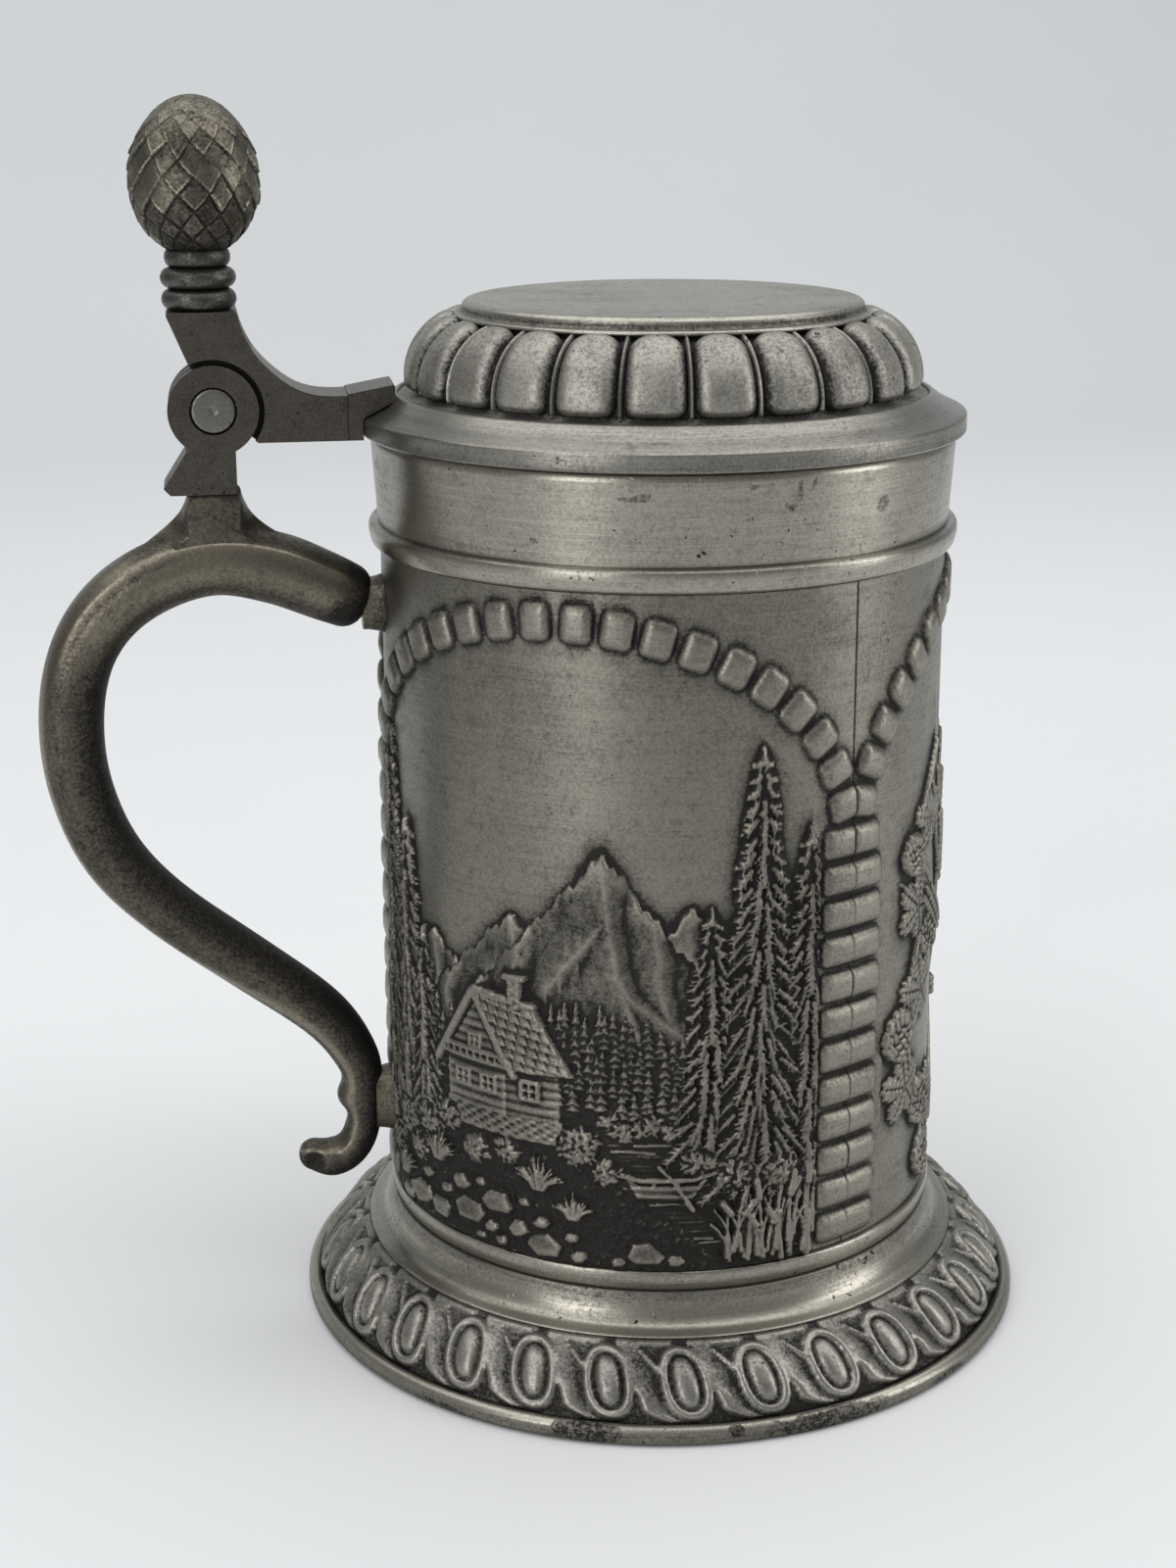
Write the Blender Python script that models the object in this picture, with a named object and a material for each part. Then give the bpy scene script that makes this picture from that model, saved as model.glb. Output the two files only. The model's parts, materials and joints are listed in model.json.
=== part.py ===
"""Pewter beer stein: a relief drum on a flared foot, with a scroll handle and a hinged, gadrooned lid.

Sizes are in millimetres and angles in degrees, and add_part() turns each finished mesh into metres. Every
piece is drawn about the stein's own axis with the foot on z = 0 and the handle along -X. An empty then moves
that axis in X, so that the origin lies under the middle of the whole object. Distances from the axis towards
the handle are called reach."""

import math

import bmesh
import bpy
from mathutils import Matrix, Vector

MILLIMETRE = 0.001
GAP = 0.3
WELD = 0.001
ROUND_STEPS = 36

# Drum wall, in three panels whose seams run down the middle of the pillars.
WALL_RADIUS = 44.2
WALL_INNER = 42.6
WALL_BOTTOM = 21.6
WALL_TOP = 126.4
PANEL_CENTRES = {"wall_panel_front": 0.0, "wall_panel_right": 120.0, "wall_panel_left": 240.0}
PANEL_ARC = 120.0
PANEL_COLUMNS = 12
LAP_LENGTH = 1.5
HANDLE_SIDE = 180.0

# Raised forms start this far under the wall's surface.
SUNK = 0.5

# Arch of rounded stone blocks on each panel, standing on two pillars; BLOCK_TOP is the share that is flat.
BLOCK_LENGTH = 5.4
BLOCK_WIDTH = 5.6
BLOCK_PROUD = 1.4
BLOCK_TOP = 0.68
ARCH_HALF_WIDTH = 43.3
ARCH_SPRING = 88.5
ARCH_CROWN = 122.0
ARCH_BLOCKS = 20
PILLAR_BLOCKS = 12

# Main masses of the pictures under the arches, as (s, z) on a panel laid flat, with s across from its middle.
# EDGE is the share that stays flat on top of a form with steep sides, SLOPE of one with slanting sides.
PICTURE_HALF_WIDTH = 40.0
EDGE = 0.93
SLOPE = 0.6
# Lake among woods under bare peaks, with a log hut on the near bank.
PEAKS = ((-24.0, 71.0, 19.0), (-8.0, 77.0, 22.0), (20.0, 80.0, 25.0), (7.0, 88.0, 28.0))
PEAK_FOOT = 54.0
PEAK_HEIGHT = 1.2
WOOD_LOW = 44.0
WOOD_HIGH = 58.0
WOOD_TREES = 6
WOOD_TREE_TOP = 2.0
WOOD_HEIGHT = 0.9
FIRS = ((-32.0, 41.0, 86.0, 13.0), (-38.0, 37.0, 98.0, 15.0), (38.0, 38.0, 90.0, 13.0),
        (23.0, 42.0, 79.0, 12.0), (30.5, 36.0, 100.0, 17.0))
FIR_TIERS = 3
FIR_HEIGHT = 1.4
# Place of the hut's gable, and its walls, gable, roof and chimney measured from there, each with its height.
HUT = (-14.0, 44.0)
HUT_FORMS = ((0.95, ((5.0, -2.5), (14.5, -2.5), (14.5, 9.5), (5.0, 9.5))),
             (1.25, ((-6.0, -3.0), (5.6, -3.0), (5.6, 9.0), (-0.2, 18.5), (-6.0, 9.0))),
             (1.5, ((5.4, 7.8), (17.0, 8.6), (10.5, 19.5), (-0.4, 20.0))),
             (1.65, ((6.0, 17.5), (8.4, 17.5), (8.4, 23.5), (6.0, 23.5))))
BANK = ((-40.0, 22.0), (26.0, 22.0), (14.0, 32.3), (4.0, 40.2), (-6.0, 47.5), (-20.0, 48.8), (-40.0, 44.4))
BANK_HEIGHT = 0.6
BOULDERS = ((-18.0, 30.0, 4.0), (-9.0, 27.0, 4.2), (-29.0, 26.5, 4.2), (2.0, 26.0, 3.4), (3.2, 41.0, 3.6),
            (-29.5, 38.0, 5.0), (30.0, 36.5, 5.0), (15.5, 24.3, 2.6))
BOULDER_HEIGHT = 1.5
BOULDER_SIDES = 5
BOAT = ((10.3, 37.0), (12.2, 33.6), (20.4, 33.6), (23.2, 37.4))
BOAT_HEIGHT = 1.1
REEDS = ((28.5, 33.0), (33.5, 35.0), (38.0, 33.5))
REED_LOW = 23.0
REED_HALF_WIDTH = 2.2
# Sheaf of barley, right half from the tie up and down; the left half is its mirror image.
SHEAF_TOP = ((4.0, 50.0), (12.0, 60.0), (26.0, 69.5), (26.5, 75.5), (19.0, 84.0), (9.0, 90.5))
SHEAF_FOOT = ((4.0, 49.0), (7.5, 40.0), (14.0, 31.0), (8.0, 28.5))
SHEAF_TIE = ((5.0, 48.0), (5.0, 52.0))
SHEAF_HEIGHT = 1.2
TIE_HEIGHT = 1.6
# Cask lying on a stand.
CASK_Z = 56.0
CASK_HALF_LENGTH = 23.0
CASK_RADIUS = 16.5
CASK_TAPER = 3.2
CASK_HEIGHT = 1.7
CASK_ROUND = 0.85
STAND_LEG = ((11.8, 32.0), (18.2, 32.0), (17.4, 41.5), (12.6, 41.5))
STAND_BEAM = ((26.0, 30.0), (26.0, 33.0))
STAND_HEIGHT = 1.2
# Hop vines beside the sheaf and over the cask: the stalk's line and the size of each leaf.
SHEAF_VINE = ((7.0, 30.0), (20.0, 33.0), (29.0, 44.0), (30.0, 58.0), (26.0, 72.0), (27.0, 86.0), (20.0, 97.0))
CASK_VINE = ((2.0, 97.0), (10.0, 99.0), (19.0, 95.0), (27.0, 87.0), (31.0, 76.0), (32.0, 64.0), (33.0, 52.0))
LEAF_SIZES = (6.8, 6.5, 6.8, 6.0, 5.5)
LEAF_TURN = 1.0
LEAF_STALK = 0.55
LEAF_SIDES = 5
LEAF_HEIGHT = 1.1
HOP_SHARE = 1.1
HOP_HEIGHT = 1.7
VINE_STEPS = 8

# Mouth band and the two half-round beads.
BAND_RADIUS = 44.5
LIP_RADIUS = 44.9
LIP_INNER = 41.3
LIP_TOP = 143.3
SPIGOT_RADIUS = 42.3
SPIGOT_BOTTOM = 123.4
NECK_BEAD_RADIUS = 46.0
NECK_BEAD_TOP = 130.2
BASE_BEAD_RADIUS = 45.1
BASE_BEAD_BOTTOM = 18.3

# Foot with its egg and twist ornament, and the floor disc let into it.
FOOT_RADIUS = 59.6
RIM_HEIGHT = 3.2
RIM_EASE = 0.8
REST_INNER = 55.0
ORNAMENT_LOW = (57.0, 3.5)
ORNAMENT_HIGH = (48.8, 12.3)
ORNAMENT_BULGE = 1.2
ORNAMENT_REPEATS = 29
ORNAMENT_ROWS = 4
ORNAMENT_PHASE = 264.3
EGG_HEIGHT = 1.3
TWIST_HEIGHT = 0.9
TWIST_SLANT = 0.1
COLLAR_TOP = 25.0
FOOT_TOP = 18.0
LEDGE_Z = 14.2
LEDGE_INNER = 38.5
COVE = ((48.4, 12.8), (46.2, 13.2), (44.9, 15.0), (44.7, FOOT_TOP))
COVE_POINTS = 3
FOOT_CAVITY = ((LEDGE_INNER, 12.0), (50.6, 7.4), (REST_INNER, 0.0))
FLOOR_THICK = 2.2

# Lid: a flange, a dome of rounded gadroons and a plain disc on top.
FLANGE_RADIUS = 46.85
FLANGE_BOTTOM = LIP_TOP + GAP
FLANGE_EASE = 0.7
FLANGE_SLOPE = ((FLANGE_RADIUS, 146.2), (FLANGE_RADIUS - 0.45, 147.4), (44.7, 149.0), (42.0, 149.9),
                (40.2, 150.6))
LID_OPENING = 41.0
LID_CAVITY = ((29.5, 159.4), (34.0, 156.6), (36.4, 151.0), (LID_OPENING, 145.2))
DOME_CENTRE = (29.0, 151.3)
GADROON_RADIUS = 10.8
GROOVE_RADIUS = 9.1
GADROONS = 24
GADROON_PHASE = 11.1
GADROON_ROWS = 5
GADROON_ACROSS = (0.0, 0.12, 0.35, 0.65, 0.88)
DOME_SWEEP = 72.0
LID_LIP_RADIUS = 32.4
LID_TOP = 161.7
LIP_EASE = 0.6
PLATE_RADIUS = 30.9
PLATE_TOP = 163.3
PLATE_EDGE = ((-1.4, 0.0), (-0.4, -0.3), (0.0, -0.9))

# Hinge of five knuckles on one pin.
HINGE_REACH = 69.0
HINGE_Z = 148.5
HINGE_HALF_WIDTH = 5.3
KNUCKLE_RADIUS = 6.8
KNUCKLE_GAP = 0.3
KNUCKLES = 5
SWING_RADIUS = 7.4
PIN_RADIUS = 3.45
BLOCK_BOTTOM = 135.85
BLOCK_OUTLINE = ((65.9, BLOCK_BOTTOM), (75.9, BLOCK_BOTTOM), (76.9, 136.9), (73.0, 142.8), (71.0, 147.0),
                 (66.5, 147.0), (65.9, 142.3))

# Lid arm as (reach, z): its toe on the flange, its hollow upper edge, the thumb ledge and its back.
ARM_TOE = ((41.8, 147.0), (41.8, 151.3), (42.5, 152.0), (47.4, 151.4), (48.8, 150.7))
ARM_CURVE = ((50.5, 150.5), (58.0, 150.5), (61.5, 156.0), (65.0, 162.2))
ARM_CURVE_POINTS = 8
THUMB_LEDGE = ((64.6, 162.2), (64.6, 163.1), (75.2, 163.1), (75.2, 162.2), (74.6, 162.2))
ARM_BACK = ((72.2, 155.0), (HINGE_REACH, HINGE_Z), (62.5, FLANGE_BOTTOM), (45.0, FLANGE_BOTTOM))

# Handle: points of its centre line as (reach, z, half thickness), from the upper end to the scroll.
HANDLE_PATH = (
    (46.9, 117.6, 3.9), (53.0, 120.5, 5.4), (61.0, 123.6, 5.5), (70.0, 124.9, 5.2), (79.0, 122.6, 5.3),
    (86.3, 117.6, 5.2), (91.0, 110.3, 5.1), (93.2, 100.5, 5.1), (92.3, 89.5, 4.9), (88.0, 78.3, 4.8),
    (80.0, 69.0, 4.5), (67.5, 59.1, 4.4), (55.8, 49.7, 4.1), (50.4, 41.8, 3.5), (49.7, 34.0, 3.4),
    (50.1, 28.6, 3.2), (52.6, 25.2, 3.2), (56.9, 24.2, 3.4),
)
HANDLE_SPAN_STEPS = 2
HANDLE_SIDES = 10
HANDLE_WIDTH_RATIO = 1.15
HANDLE_SQUARENESS = 2.6
TIP_TILTS = (35, 65, 82)
HANDLE_REACH = 98.1
NECK_HALF_WIDTH = 4.9
NECK_TOP = BLOCK_BOTTOM - GAP
NECK_OUTER = ((73.8, NECK_TOP), (73.8, 131.6), (76.0, 129.6), (81.0, 125.0))
NECK_ROOT = (70.0, 123.0)
NECK_INNER = ((58.5, 124.6), (63.0, 129.4), (66.0, 131.0), (66.0, NECK_TOP))
NECK_POINTS = 5
KNOB_REACH = 50.9
KNOB_Z = 34.6
KNOB_RADIUS = 2.9
LUG_HALF_ARC = 4.6
UPPER_LUG = {"low": 113.0, "high": 121.6, "outer": 46.6}
LOWER_LUG = {"low": 29.2, "high": 39.6, "outer": 46.0}

# Thumb piece on the lid arm.
THUMB_REACH = 70.35
COLLAR_RINGS = ((163.4, 166.3, 5.65), (166.3, 169.4, 5.75), (169.4, 171.9, 5.0))
CONE_BOTTOM = 172.2
CONE_TOP = 194.3
CONE_RADIUS = 9.4
CONE_WIDEST = 0.42
CONE_SCALES = 10
CONE_ROWS = 10
SCALE_HEIGHT = 0.75

AXIS_X = (HANDLE_REACH - FOOT_RADIUS) / 2


def clear_scene():
    for obj in list(bpy.data.objects):
        bpy.data.objects.remove(obj, do_unlink=True)


def pewter(name, tone, roughness):
    """A warm grey metal; tone is its lightness from 0 to 1."""
    material = bpy.data.materials.new(name)
    material.use_nodes = True
    shader = material.node_tree.nodes["Principled BSDF"]
    shader.inputs["Base Color"].default_value = (tone, tone * 0.97, tone * 0.92, 1.0)
    shader.inputs["Metallic"].default_value = 1.0
    shader.inputs["Roughness"].default_value = roughness
    return material


def add_empty(name, location, parent=None):
    empty = bpy.data.objects.new(name, None)
    empty.location = Vector(location) * MILLIMETRE
    empty.parent = parent
    bpy.context.scene.collection.objects.link(empty)
    return empty


def add_part(name, bm, parent, origin=(0.0, 0.0, 0.0), tone=0.36, roughness=0.38):
    """Make a named object from a mesh drawn about the stein's axis; origin is its parent's place there."""
    bmesh.ops.remove_doubles(bm, verts=bm.verts[:], dist=WELD)
    bmesh.ops.recalc_face_normals(bm, faces=bm.faces[:])
    bmesh.ops.translate(bm, verts=bm.verts[:], vec=-Vector(origin))
    bmesh.ops.scale(bm, verts=bm.verts[:], vec=(MILLIMETRE, MILLIMETRE, MILLIMETRE))
    mesh = bpy.data.meshes.new(name)
    bm.to_mesh(mesh)
    bm.free()
    mesh.shade_smooth()
    mesh.set_sharp_from_angle(angle=math.radians(35))
    mesh.materials.append(pewter(name + "_pewter", tone, roughness))
    obj = bpy.data.objects.new(name, mesh)
    obj.parent = parent
    bpy.context.scene.collection.objects.link(obj)


def combine(base, tool, operation):
    """Return base with tool joined to it (UNION) or cut out of it (DIFFERENCE), as a new mesh."""
    objects = []
    for bm in (base, tool):
        bmesh.ops.recalc_face_normals(bm, faces=bm.faces[:])
        mesh = bpy.data.meshes.new("operand")
        bm.to_mesh(mesh)
        bm.free()
        objects.append(bpy.data.objects.new("operand", mesh))
        bpy.context.scene.collection.objects.link(objects[-1])
    modifier = objects[0].modifiers.new("combine", "BOOLEAN")
    modifier.operation = operation
    modifier.solver = "EXACT"
    modifier.object = objects[1]
    result = bmesh.new()
    result.from_object(objects[0], bpy.context.evaluated_depsgraph_get())
    for obj in objects:
        bpy.data.objects.remove(obj, do_unlink=True)
    return result


def revolve(profile, closed=True, steps=ROUND_STEPS, start=0.0, sweep=360.0):
    """Turn a profile of (radius, z) points about the stein's axis."""
    bm = bmesh.new()
    verts = [bm.verts.new((radius, 0.0, z)) for radius, z in profile]
    outline = [bm.edges.new(pair) for pair in zip(verts, verts[1:])]
    if closed:
        outline.append(bm.edges.new((verts[-1], verts[0])))
    full_turn = sweep == 360.0
    if not full_turn:
        outline = [bm.faces.new(verts)]
        bmesh.ops.rotate(bm, verts=verts, cent=(0, 0, 0), matrix=Matrix.Rotation(math.radians(start), 3, "Z"))
    bmesh.ops.spin(bm, geom=verts + outline, cent=(0, 0, 0), axis=(0, 0, 1), angle=math.radians(sweep),
                   steps=steps, use_merge=full_turn)
    bmesh.ops.remove_doubles(bm, verts=bm.verts[:], dist=WELD)
    return bm


def half_round(inner, flat, crown, low, high, points=4):
    """Profile of a bead: a flat back at radius inner and a round front that reaches radius crown."""
    profile = [(inner, low), (inner, high)]
    for n in range(points):
        angle = math.radians(90 - 180 * n / (points - 1))
        profile.append((flat + (crown - flat) * math.cos(angle),
                        (low + high) / 2 + (high - low) / 2 * math.sin(angle)))
    return profile


def fill_between(bm, coarse, fine):
    """Fill between two rings that start at one angle; each coarse point has the same number of fine ones."""
    ratio = len(fine) // len(coarse)
    for n, start in enumerate(coarse):
        end = coarse[(n + 1) % len(coarse)]
        side = [fine[(n * ratio + k) % len(fine)] for k in range(ratio + 1)]
        if ratio == 1:
            bm.faces.new((start, end, side[1], side[0]))
            continue
        middle = ratio // 2
        bm.faces.new((start, end, side[middle]))
        for k in range(ratio):
            bm.faces.new((start if k < middle else end, side[k + 1], side[k]))


def stack_rings(rings, loop):
    """Join rings of points one after the other; loop joins the last to the first, else both ends close."""
    bm = bmesh.new()
    loops = []
    for points in rings:
        loops.append([bm.verts.new(point) for point in points])
    pairs = list(zip(loops, loops[1:]))
    if loop:
        pairs.append((loops[-1], loops[0]))
    else:
        bm.faces.new(loops[0])
        bm.faces.new(loops[-1])
    for first, second in pairs:
        fill_between(bm, *sorted((first, second), key=len))
    return bm


def circle(radius, z, count, phase=0.0):
    angles = [math.radians(phase + 360 * n / count) for n in range(count)]
    return [(radius * math.cos(a), radius * math.sin(a), z) for a in angles]


def prism(outline, half_width):
    """Extrude an outline of (reach, z) points across Y, to half_width on both sides of the middle."""
    bm = bmesh.new()
    face = bm.faces.new([bm.verts.new((-reach, -half_width, z)) for reach, z in outline])
    moved = bmesh.ops.extrude_face_region(bm, geom=[face])["geom"]
    verts = [v for v in moved if isinstance(v, bmesh.types.BMVert)]
    bmesh.ops.translate(bm, verts=verts, vec=(0.0, 2 * half_width, 0.0))
    return bm


def hinge_cylinder(radius, low, high, sides=20):
    """A cylinder on the hinge axis from y = low to y = high."""
    bm = bmesh.new()
    place = (Matrix.Translation((-HINGE_REACH, (low + high) / 2, HINGE_Z))
             @ Matrix.Rotation(math.radians(90), 4, "X"))
    bmesh.ops.create_cone(bm, cap_ends=True, segments=sides, radius1=radius, radius2=radius,
                          depth=high - low, matrix=place)
    return bm


def knuckle_slots(first):
    """The y ranges of every second knuckle, from the one numbered first, widened by the knuckle gap."""
    width = (2 * HINGE_HALF_WIDTH - (KNUCKLES - 1) * KNUCKLE_GAP) / KNUCKLES
    slots = []
    for n in range(first, KNUCKLES, 2):
        low = -HINGE_HALF_WIDTH + n * (width + KNUCKLE_GAP)
        slots.append((low - KNUCKLE_GAP, low + width + KNUCKLE_GAP))
    return slots


def bezier(p0, p1, p2, p3, count):
    """Points along a cubic curve, both ends included."""
    points = []
    for n in range(count):
        t = n / (count - 1)
        weights = ((1 - t) ** 3, 3 * t * (1 - t) ** 2, 3 * t * t * (1 - t), t ** 3)
        points.append(tuple(sum(w * p[axis] for w, p in zip(weights, (p0, p1, p2, p3))) for axis in (0, 1)))
    return points


def arch_stations():
    """Centre and direction (s, z, turn in radians) of every block of one arch and its pillars, laid flat."""
    rise = ARCH_CROWN - ARCH_SPRING
    fine = [(ARCH_HALF_WIDTH * math.cos(a), ARCH_SPRING + rise * math.sin(a))
            for a in (math.pi * n / 400 for n in range(401))]
    travelled = [0.0]
    for (s0, z0), (s1, z1) in zip(fine, fine[1:]):
        travelled.append(travelled[-1] + math.hypot(s1 - s0, z1 - z0))
    stations = []
    for n in range(ARCH_BLOCKS):
        goal = travelled[-1] * (n + 0.5) / ARCH_BLOCKS
        k = next(i for i, length in enumerate(travelled) if length >= goal)
        (s0, z0), (s1, z1) = fine[k - 1], fine[k]
        stations.append((s1, z1, math.atan2(z1 - z0, s1 - s0)))
    pitch = (ARCH_SPRING - WALL_BOTTOM) / PILLAR_BLOCKS
    for n in range(PILLAR_BLOCKS):
        for s in (-ARCH_HALF_WIDTH, ARCH_HALF_WIDTH):
            stations.append((s, ARCH_SPRING - (n + 0.5) * pitch, math.pi / 2))
    return stations


def mound(outline, height, flat, crown=None):
    """A raised form on a panel laid flat, with the wall at y = 0: its sides run from a sunk outline of (s, z)
    points to a top that is the outline drawn in about the crown, or to a point where flat is 0."""
    if crown is None:
        crown = [sum(values) / len(outline) for values in zip(*outline)]
    bm = bmesh.new()
    face = bm.faces.new([bm.verts.new((s, -SUNK, z)) for s, z in outline])
    moved = bmesh.ops.extrude_face_region(bm, geom=[face])["geom"]
    top = [v for v in moved if isinstance(v, bmesh.types.BMVert)]
    bmesh.ops.translate(bm, verts=top, vec=(-crown[0], SUNK + height, -crown[1]))
    bmesh.ops.scale(bm, verts=top, vec=(flat, 1.0, flat))
    bmesh.ops.translate(bm, verts=top, vec=(crown[0], 0.0, crown[1]))
    bmesh.ops.remove_doubles(bm, verts=bm.verts[:], dist=WELD)
    return bm


def polygon(s, z, half_long, half_wide, turn, sides):
    """Corners of a regular polygon, stretched and then turned by an angle in radians."""
    corners = []
    for n in range(sides):
        angle = 2 * math.pi * (n + 0.5) / sides
        x, y = half_long * math.cos(angle), half_wide * math.sin(angle)
        corners.append((s + x * math.cos(turn) - y * math.sin(turn),
                        z + x * math.sin(turn) + y * math.cos(turn)))
    return corners


def mirrored(points):
    """Right-hand (s, z) points followed by their mirror images in reverse order, as one outline."""
    return list(points) + [(-s, z) for s, z in reversed(points)]


def stone_blocks(skip):
    """All blocks of one panel; skip leaves one out."""
    corner = math.sqrt(2) / 2
    blocks = []
    for s, z, turn in arch_stations():
        if not skip(s, z):
            outline = polygon(s, z, BLOCK_LENGTH * corner, BLOCK_WIDTH * corner, turn, 4)
            blocks.append(mound(outline, BLOCK_PROUD, BLOCK_TOP))
    return blocks


def lake_forms():
    """Peaks over a fir wood, a hut on the bank of a lake, a boat, reeds, and tall firs at both sides."""
    forms = []
    for s, top, half_width in PEAKS:
        outline = [(s - half_width, PEAK_FOOT), (s + half_width, PEAK_FOOT), (s, top)]
        forms.append(mound(outline, PEAK_HEIGHT, 0.0, (s, top - (top - PEAK_FOOT) / 3)))
    wood = [(-PICTURE_HALF_WIDTH, WOOD_LOW), (PICTURE_HALF_WIDTH, WOOD_LOW)]
    for n in range(2 * WOOD_TREES + 1):
        s = PICTURE_HALF_WIDTH - PICTURE_HALF_WIDTH * n / WOOD_TREES
        wood.append((s, WOOD_HIGH + (WOOD_TREE_TOP if n % 2 else -WOOD_TREE_TOP)))
    forms.append(mound(wood, WOOD_HEIGHT, EDGE))
    forms.append(mound(BANK, BANK_HEIGHT, EDGE))
    s, z = HUT
    for height, outline in HUT_FORMS:
        forms.append(mound([(s + ds, z + dz) for ds, dz in outline], height, EDGE))
    for s, low, tip, width in FIRS:
        for n in range(FIR_TIERS):
            share = (FIR_TIERS - n) / FIR_TIERS
            base = tip - (tip - low) * share
            top = tip - (tip - low) * max(share - 1.5 / FIR_TIERS, 0.0)
            half = width / 2 * share
            sides = [max(-PICTURE_HALF_WIDTH, s - half), min(PICTURE_HALF_WIDTH, s + half)]
            forms.append(mound([(sides[0], base), (sides[1], base), (s, top)], FIR_HEIGHT, 0.0,
                               (s, base + (top - base) / 4)))
    for s, z, size in BOULDERS:
        forms.append(mound(polygon(s, z, size, 0.75 * size, 0.3 * s, BOULDER_SIDES), BOULDER_HEIGHT, SLOPE))
    forms.append(mound(BOAT, BOAT_HEIGHT, EDGE))
    for s, tip in REEDS:
        outline = [(s - REED_HALF_WIDTH, REED_LOW), (s + REED_HALF_WIDTH, REED_LOW), (s, tip)]
        forms.append(mound(outline, FIR_HEIGHT, 0.0))
    return forms


def vine_forms(line, side):
    """Leaves and hop bunches on one side's vine, with the leaves to the left and right by turns."""
    path = smooth_path(line, VINE_STEPS)
    step = len(path) // (len(LEAF_SIZES) + 1)
    forms = []
    for n, size in enumerate(LEAF_SIZES):
        (s, z), (s0, z0), (s1, z1) = (path[step * (n + 1) + k] for k in (0, -1, 1))
        turn = math.atan2(z1 - z0, s1 - s0) + (LEAF_TURN if n % 2 else -LEAF_TURN)
        middle = (s + LEAF_STALK * size * math.cos(turn), z + LEAF_STALK * size * math.sin(turn))
        leaf = polygon(*middle, size, 0.85 * size, turn, LEAF_SIDES)
        drop = HOP_SHARE * size
        hops = [(s - 0.6 * size, z - 1.0), (s + 0.6 * size, z - 1.0), (s + 0.45 * size, z - drop),
                (s - 0.45 * size, z - drop)]
        for outline, height, flat in ((leaf, LEAF_HEIGHT, SLOPE), (hops, HOP_HEIGHT, 0.0)):
            forms.append(mound([(side * a, b) for a, b in outline], height, flat))
    return forms


def sheaf_forms():
    """A tied sheaf of barley between two hop vines."""
    forms = vine_forms(SHEAF_VINE, 1) + vine_forms(SHEAF_VINE, -1)
    forms.append(mound(mirrored(SHEAF_FOOT), SHEAF_HEIGHT, EDGE))
    forms.append(mound(mirrored(SHEAF_TOP), SHEAF_HEIGHT, EDGE))
    forms.append(mound(mirrored(SHEAF_TIE), TIE_HEIGHT, EDGE))
    return forms


def cask_forms():
    """A cask on its stand under a garland of hop vines."""
    rings = []
    for share in (-1.0, -0.5, 0.5, 1.0):
        reach = CASK_RADIUS - CASK_TAPER * share ** 2
        ring = [(CASK_HALF_LENGTH * share, -SUNK, CASK_Z - reach)]
        for up in (-1.0, -0.6, 0.0, 0.6, 1.0):
            height = CASK_HEIGHT * math.sqrt(1 - CASK_ROUND * up * up)
            ring.append((CASK_HALF_LENGTH * share, height, CASK_Z + reach * up))
        ring.append((CASK_HALF_LENGTH * share, -SUNK, CASK_Z + reach))
        rings.append(ring)
    forms = [stack_rings(rings, loop=False)]
    for side in (1, -1):
        forms.append(mound([(side * s, z) for s, z in STAND_LEG], STAND_HEIGHT, EDGE))
        forms += vine_forms(CASK_VINE, side)
    forms.append(mound(mirrored(STAND_BEAM), 1.1 * STAND_HEIGHT, EDGE))
    return forms


def wall_panel(centre, picture):
    """One cast panel: modelled flat with lapped side edges, the masses of its picture and its arch of blocks,
    then bent round the drum."""
    half = math.radians(PANEL_ARC / 2) * WALL_RADIUS - GAP / 2
    back = WALL_INNER - WALL_RADIUS
    roof = back / 2 + GAP / 2
    tongue = back / 2 - GAP / 2
    section = [(-half, 0.0), (half, 0.0), (half, tongue), (half + LAP_LENGTH, tongue),
               (half + LAP_LENGTH, back), (-half + LAP_LENGTH + GAP, back),
               (-half + LAP_LENGTH + GAP, roof), (-half, roof)]
    panel = bmesh.new()
    face = panel.faces.new([panel.verts.new((s, depth, WALL_BOTTOM)) for s, depth in section])
    moved = bmesh.ops.extrude_face_region(panel, geom=[face])["geom"]
    bmesh.ops.translate(panel, verts=[v for v in moved if isinstance(v, bmesh.types.BMVert)],
                        vec=(0.0, 0.0, WALL_TOP - WALL_BOTTOM))

    def under_lug(s, z):
        side = (centre + math.copysign(PANEL_ARC / 2, s)) % 360
        margin = BLOCK_LENGTH / 2 + GAP
        return side == HANDLE_SIDE and LOWER_LUG["low"] - margin < z < LOWER_LUG["high"] + margin

    for form in picture():
        panel = combine(panel, form, "UNION")
    for n in range(1, PANEL_COLUMNS):
        cut = -half + 2 * half * n / PANEL_COLUMNS
        bmesh.ops.bisect_plane(panel, geom=panel.verts[:] + panel.edges[:] + panel.faces[:],
                               plane_co=(cut, 0.0, 0.0), plane_no=(1.0, 0.0, 0.0), dist=WELD)
    for block in stone_blocks(under_lug):
        panel = combine(panel, block, "UNION")
    for vert in panel.verts:
        angle = math.radians(centre) + vert.co.x / WALL_RADIUS
        radius = WALL_RADIUS + vert.co.y
        vert.co = (radius * math.cos(angle), radius * math.sin(angle), vert.co.z)
    return panel


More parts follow.
